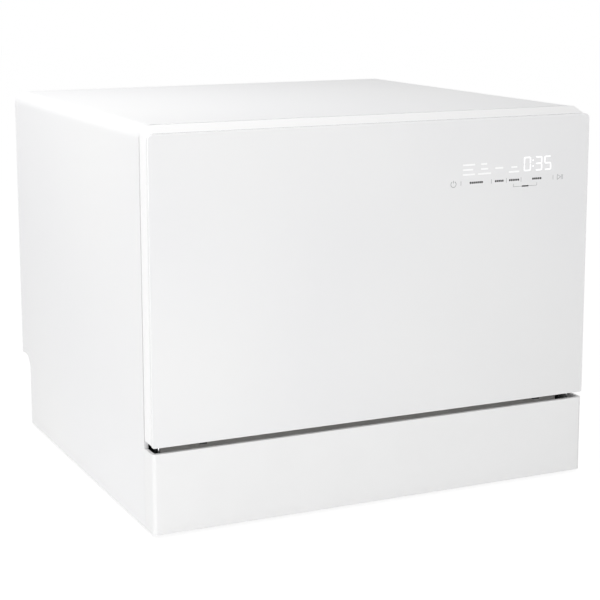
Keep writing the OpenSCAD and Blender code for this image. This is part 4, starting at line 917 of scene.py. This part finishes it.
def makeDrainSpigot():
    low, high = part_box("drain_spigot")
    wall = high.y - drainSpigot["wall"] * mm
    profile = fromFace(low.y, drainSpigot["inside"]) + fromFace(wall, drainSpigot["flange"])
    y = wall + drainSpigot["firstBarb"] * mm
    step = (high.y - y) / drainSpigot["barbs"]
    foot, crest, end = [r * mm for r in drainSpigot["barbRadii"]]
    for i in range(drainSpigot["barbs"]):
        profile += [(y, foot), (y + drainSpigot["barbRise"] * mm, crest),
                    (y + step * drainSpigot["barbShare"], end)]
        y += step
    profile += fromFace(high.y, drainSpigot["mouth"], -1) + fromFace(low.y, drainSpigot["inside"][:1])
    bm = bmesh.new()
    spinRing(bm, profile, axisOf(low, high), (0, 1, 0), drainSpigot["segments"])
    placePiece("drainSpigotBarbs", bm, "cabinet", "darkGrey", ["drain_spigot"])


def makeCordGland():
    low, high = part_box("cord_gland")
    wall = high.y - cordGland["wall"] * mm
    profile = fromFace(low.y, cordGland["inside"]) + fromFace(wall, cordGland["flange"])
    for i in range(cordGland["ribs"]):
        start = cordGland["firstRib"] + i * cordGland["ribPitch"]
        crest = cordGland["ribRadius"] - i * cordGland["ribTaper"]
        profile += fromFace(wall, [(start + along, crest + out) for along, out in cordGland["groove"]])
    profile += fromFace(high.y, cordGland["mouth"], -1) + fromFace(low.y, cordGland["inside"][:1])
    bm = bmesh.new()
    spinRing(bm, profile, axisOf(low, high), (0, 1, 0), cordGland["segments"])
    placePiece("cordGlandRibs", bm, "cabinet", "blackRubber", ["cord_gland"])


makeWaterInlet()
makeDrainSpigot()
makeCordGland()
print("hose and cord fittings made")


# Floor, backdrop, lights and camera

studio = {
    "floorHalf": 9, "floorLevel": -0.0002, "paper": "#F2F2F2", "white": "#FFFFFF",
    "floorGlow": 1.16, "glowShare": 0.78, "worldStrength": 0.48,
}
softboxes = {
    "frontHighSoftbox": {"place": (-0.4, -2.6, 1.3), "target": (0, -0.2, 0.3), "size": (1.6, 1.0),
                         "watts": 18.0},
    "frontLeftSoftbox": {"place": (-1.7, -2.0, 0.45), "target": (-0.1, -0.1, 0.22), "size": (1.2, 0.8),
                         "watts": 12.2},
    "leftSoftbox": {"place": (-2.2, -0.2, 0.7), "target": (-0.2, 0, 0.25), "size": (1.0, 1.0),
                    "watts": 5.35},
    "topSoftbox": {"place": (-0.48, 0.1, 1.1), "target": (-0.185, 0.0, 0.44), "size": (0.5, 0.7),
                   "watts": 3.37},
}
productCamera = {"place": (-0.832, -1.824, 0.615), "turn": (80.16, 0.075, -25.03), "lens": 96.54,
                 "sensor": 36, "shift": (0.0, -0.1), "clipEnd": 60}


def makeFloor():
    # white paper under the part: it keeps the shadow, and glows to the camera and in reflections
    bm = bmesh.new()
    verts = bmesh.ops.create_grid(bm, x_segments=1, y_segments=1, size=studio["floorHalf"])["verts"]
    bmesh.ops.translate(bm, vec=(0, 0, studio["floorLevel"]), verts=verts)
    mesh = bpy.data.meshes.new("studioFloor")
    bm.to_mesh(mesh)
    bm.free()
    floor = bpy.data.objects.new("studioFloor", mesh)
    bpy.context.scene.collection.objects.link(floor)
    material = bpy.data.materials.new("mattWhitePaper")
    material.use_nodes = True
    tree = material.node_tree
    tree.nodes.clear()
    paper = addNode(tree, "ShaderNodeBsdfDiffuse", {"Color": linear(studio["paper"])})
    glow = addNode(tree, "ShaderNodeEmission", {
        "Color": linear(studio["white"]), "Strength": studio["floorGlow"]})
    ray = addNode(tree, "ShaderNodeLightPath")
    seen = addNode(tree, "ShaderNodeMath", {"operation": "MAXIMUM"}, {
        0: (ray, "Is Camera Ray"), 1: (ray, "Is Glossy Ray")})
    share = addNode(tree, "ShaderNodeMath", {"operation": "MULTIPLY", 1: studio["glowShare"]}, {0: seen})
    mix = addNode(tree, "ShaderNodeMixShader", links={"Fac": share, 1: paper, 2: glow})
    addNode(tree, "ShaderNodeOutputMaterial", links={"Surface": mix})
    mesh.materials.append(material)


def makeBackdrop():
    # white to the camera and in reflections, a softer white as light on the part
    world = bpy.data.worlds.new("studioWorld")
    bpy.context.scene.world = world
    world.use_nodes = True
    tree = world.node_tree
    tree.nodes.clear()
    white = linear(studio["white"])
    ray = addNode(tree, "ShaderNodeLightPath")
    clean = addNode(tree, "ShaderNodeBackground", {"Color": white, "Strength": 1.0})
    light = addNode(tree, "ShaderNodeBackground", {"Color": white, "Strength": studio["worldStrength"]})
    direct = addNode(tree, "ShaderNodeMath", {"operation": "MAXIMUM"}, {
        0: (ray, "Is Camera Ray"), 1: (ray, "Is Transmission Ray")})
    seen = addNode(tree, "ShaderNodeMath", {"operation": "MAXIMUM"}, {
        0: direct, 1: (ray, "Is Glossy Ray")})
    mix = addNode(tree, "ShaderNodeMixShader", links={"Fac": seen, 1: light, 2: clean})
    addNode(tree, "ShaderNodeOutputWorld", links={"Surface": mix})


def makeSoftboxes():
    for name, values in softboxes.items():
        data = bpy.data.lights.new(name, "AREA")
        data.shape = "RECTANGLE"
        data.size, data.size_y = values["size"]
        data.energy = values["watts"]
        lamp = bpy.data.objects.new(name, data)
        lamp.location = values["place"]
        way = Vector(values["target"]) - Vector(values["place"])
        lamp.rotation_euler = way.to_track_quat("-Z", "Y").to_euler()
        lamp.visible_camera = False
        bpy.context.scene.collection.objects.link(lamp)


def makeCamera():
    data = bpy.data.cameras.new("productCamera")
    data.sensor_width = productCamera["sensor"]
    data.lens = productCamera["lens"]
    data.shift_x, data.shift_y = productCamera["shift"]
    data.clip_end = productCamera["clipEnd"]
    camera = bpy.data.objects.new("productCamera", data)
    camera.location = productCamera["place"]
    camera.rotation_euler = [math.radians(a) for a in productCamera["turn"]]
    bpy.context.scene.collection.objects.link(camera)
    bpy.context.scene.camera = camera


makeFloor()
makeBackdrop()
makeSoftboxes()
makeCamera()
bpy.context.scene.view_settings.view_transform = "Standard"
print("studio, lights and camera made")
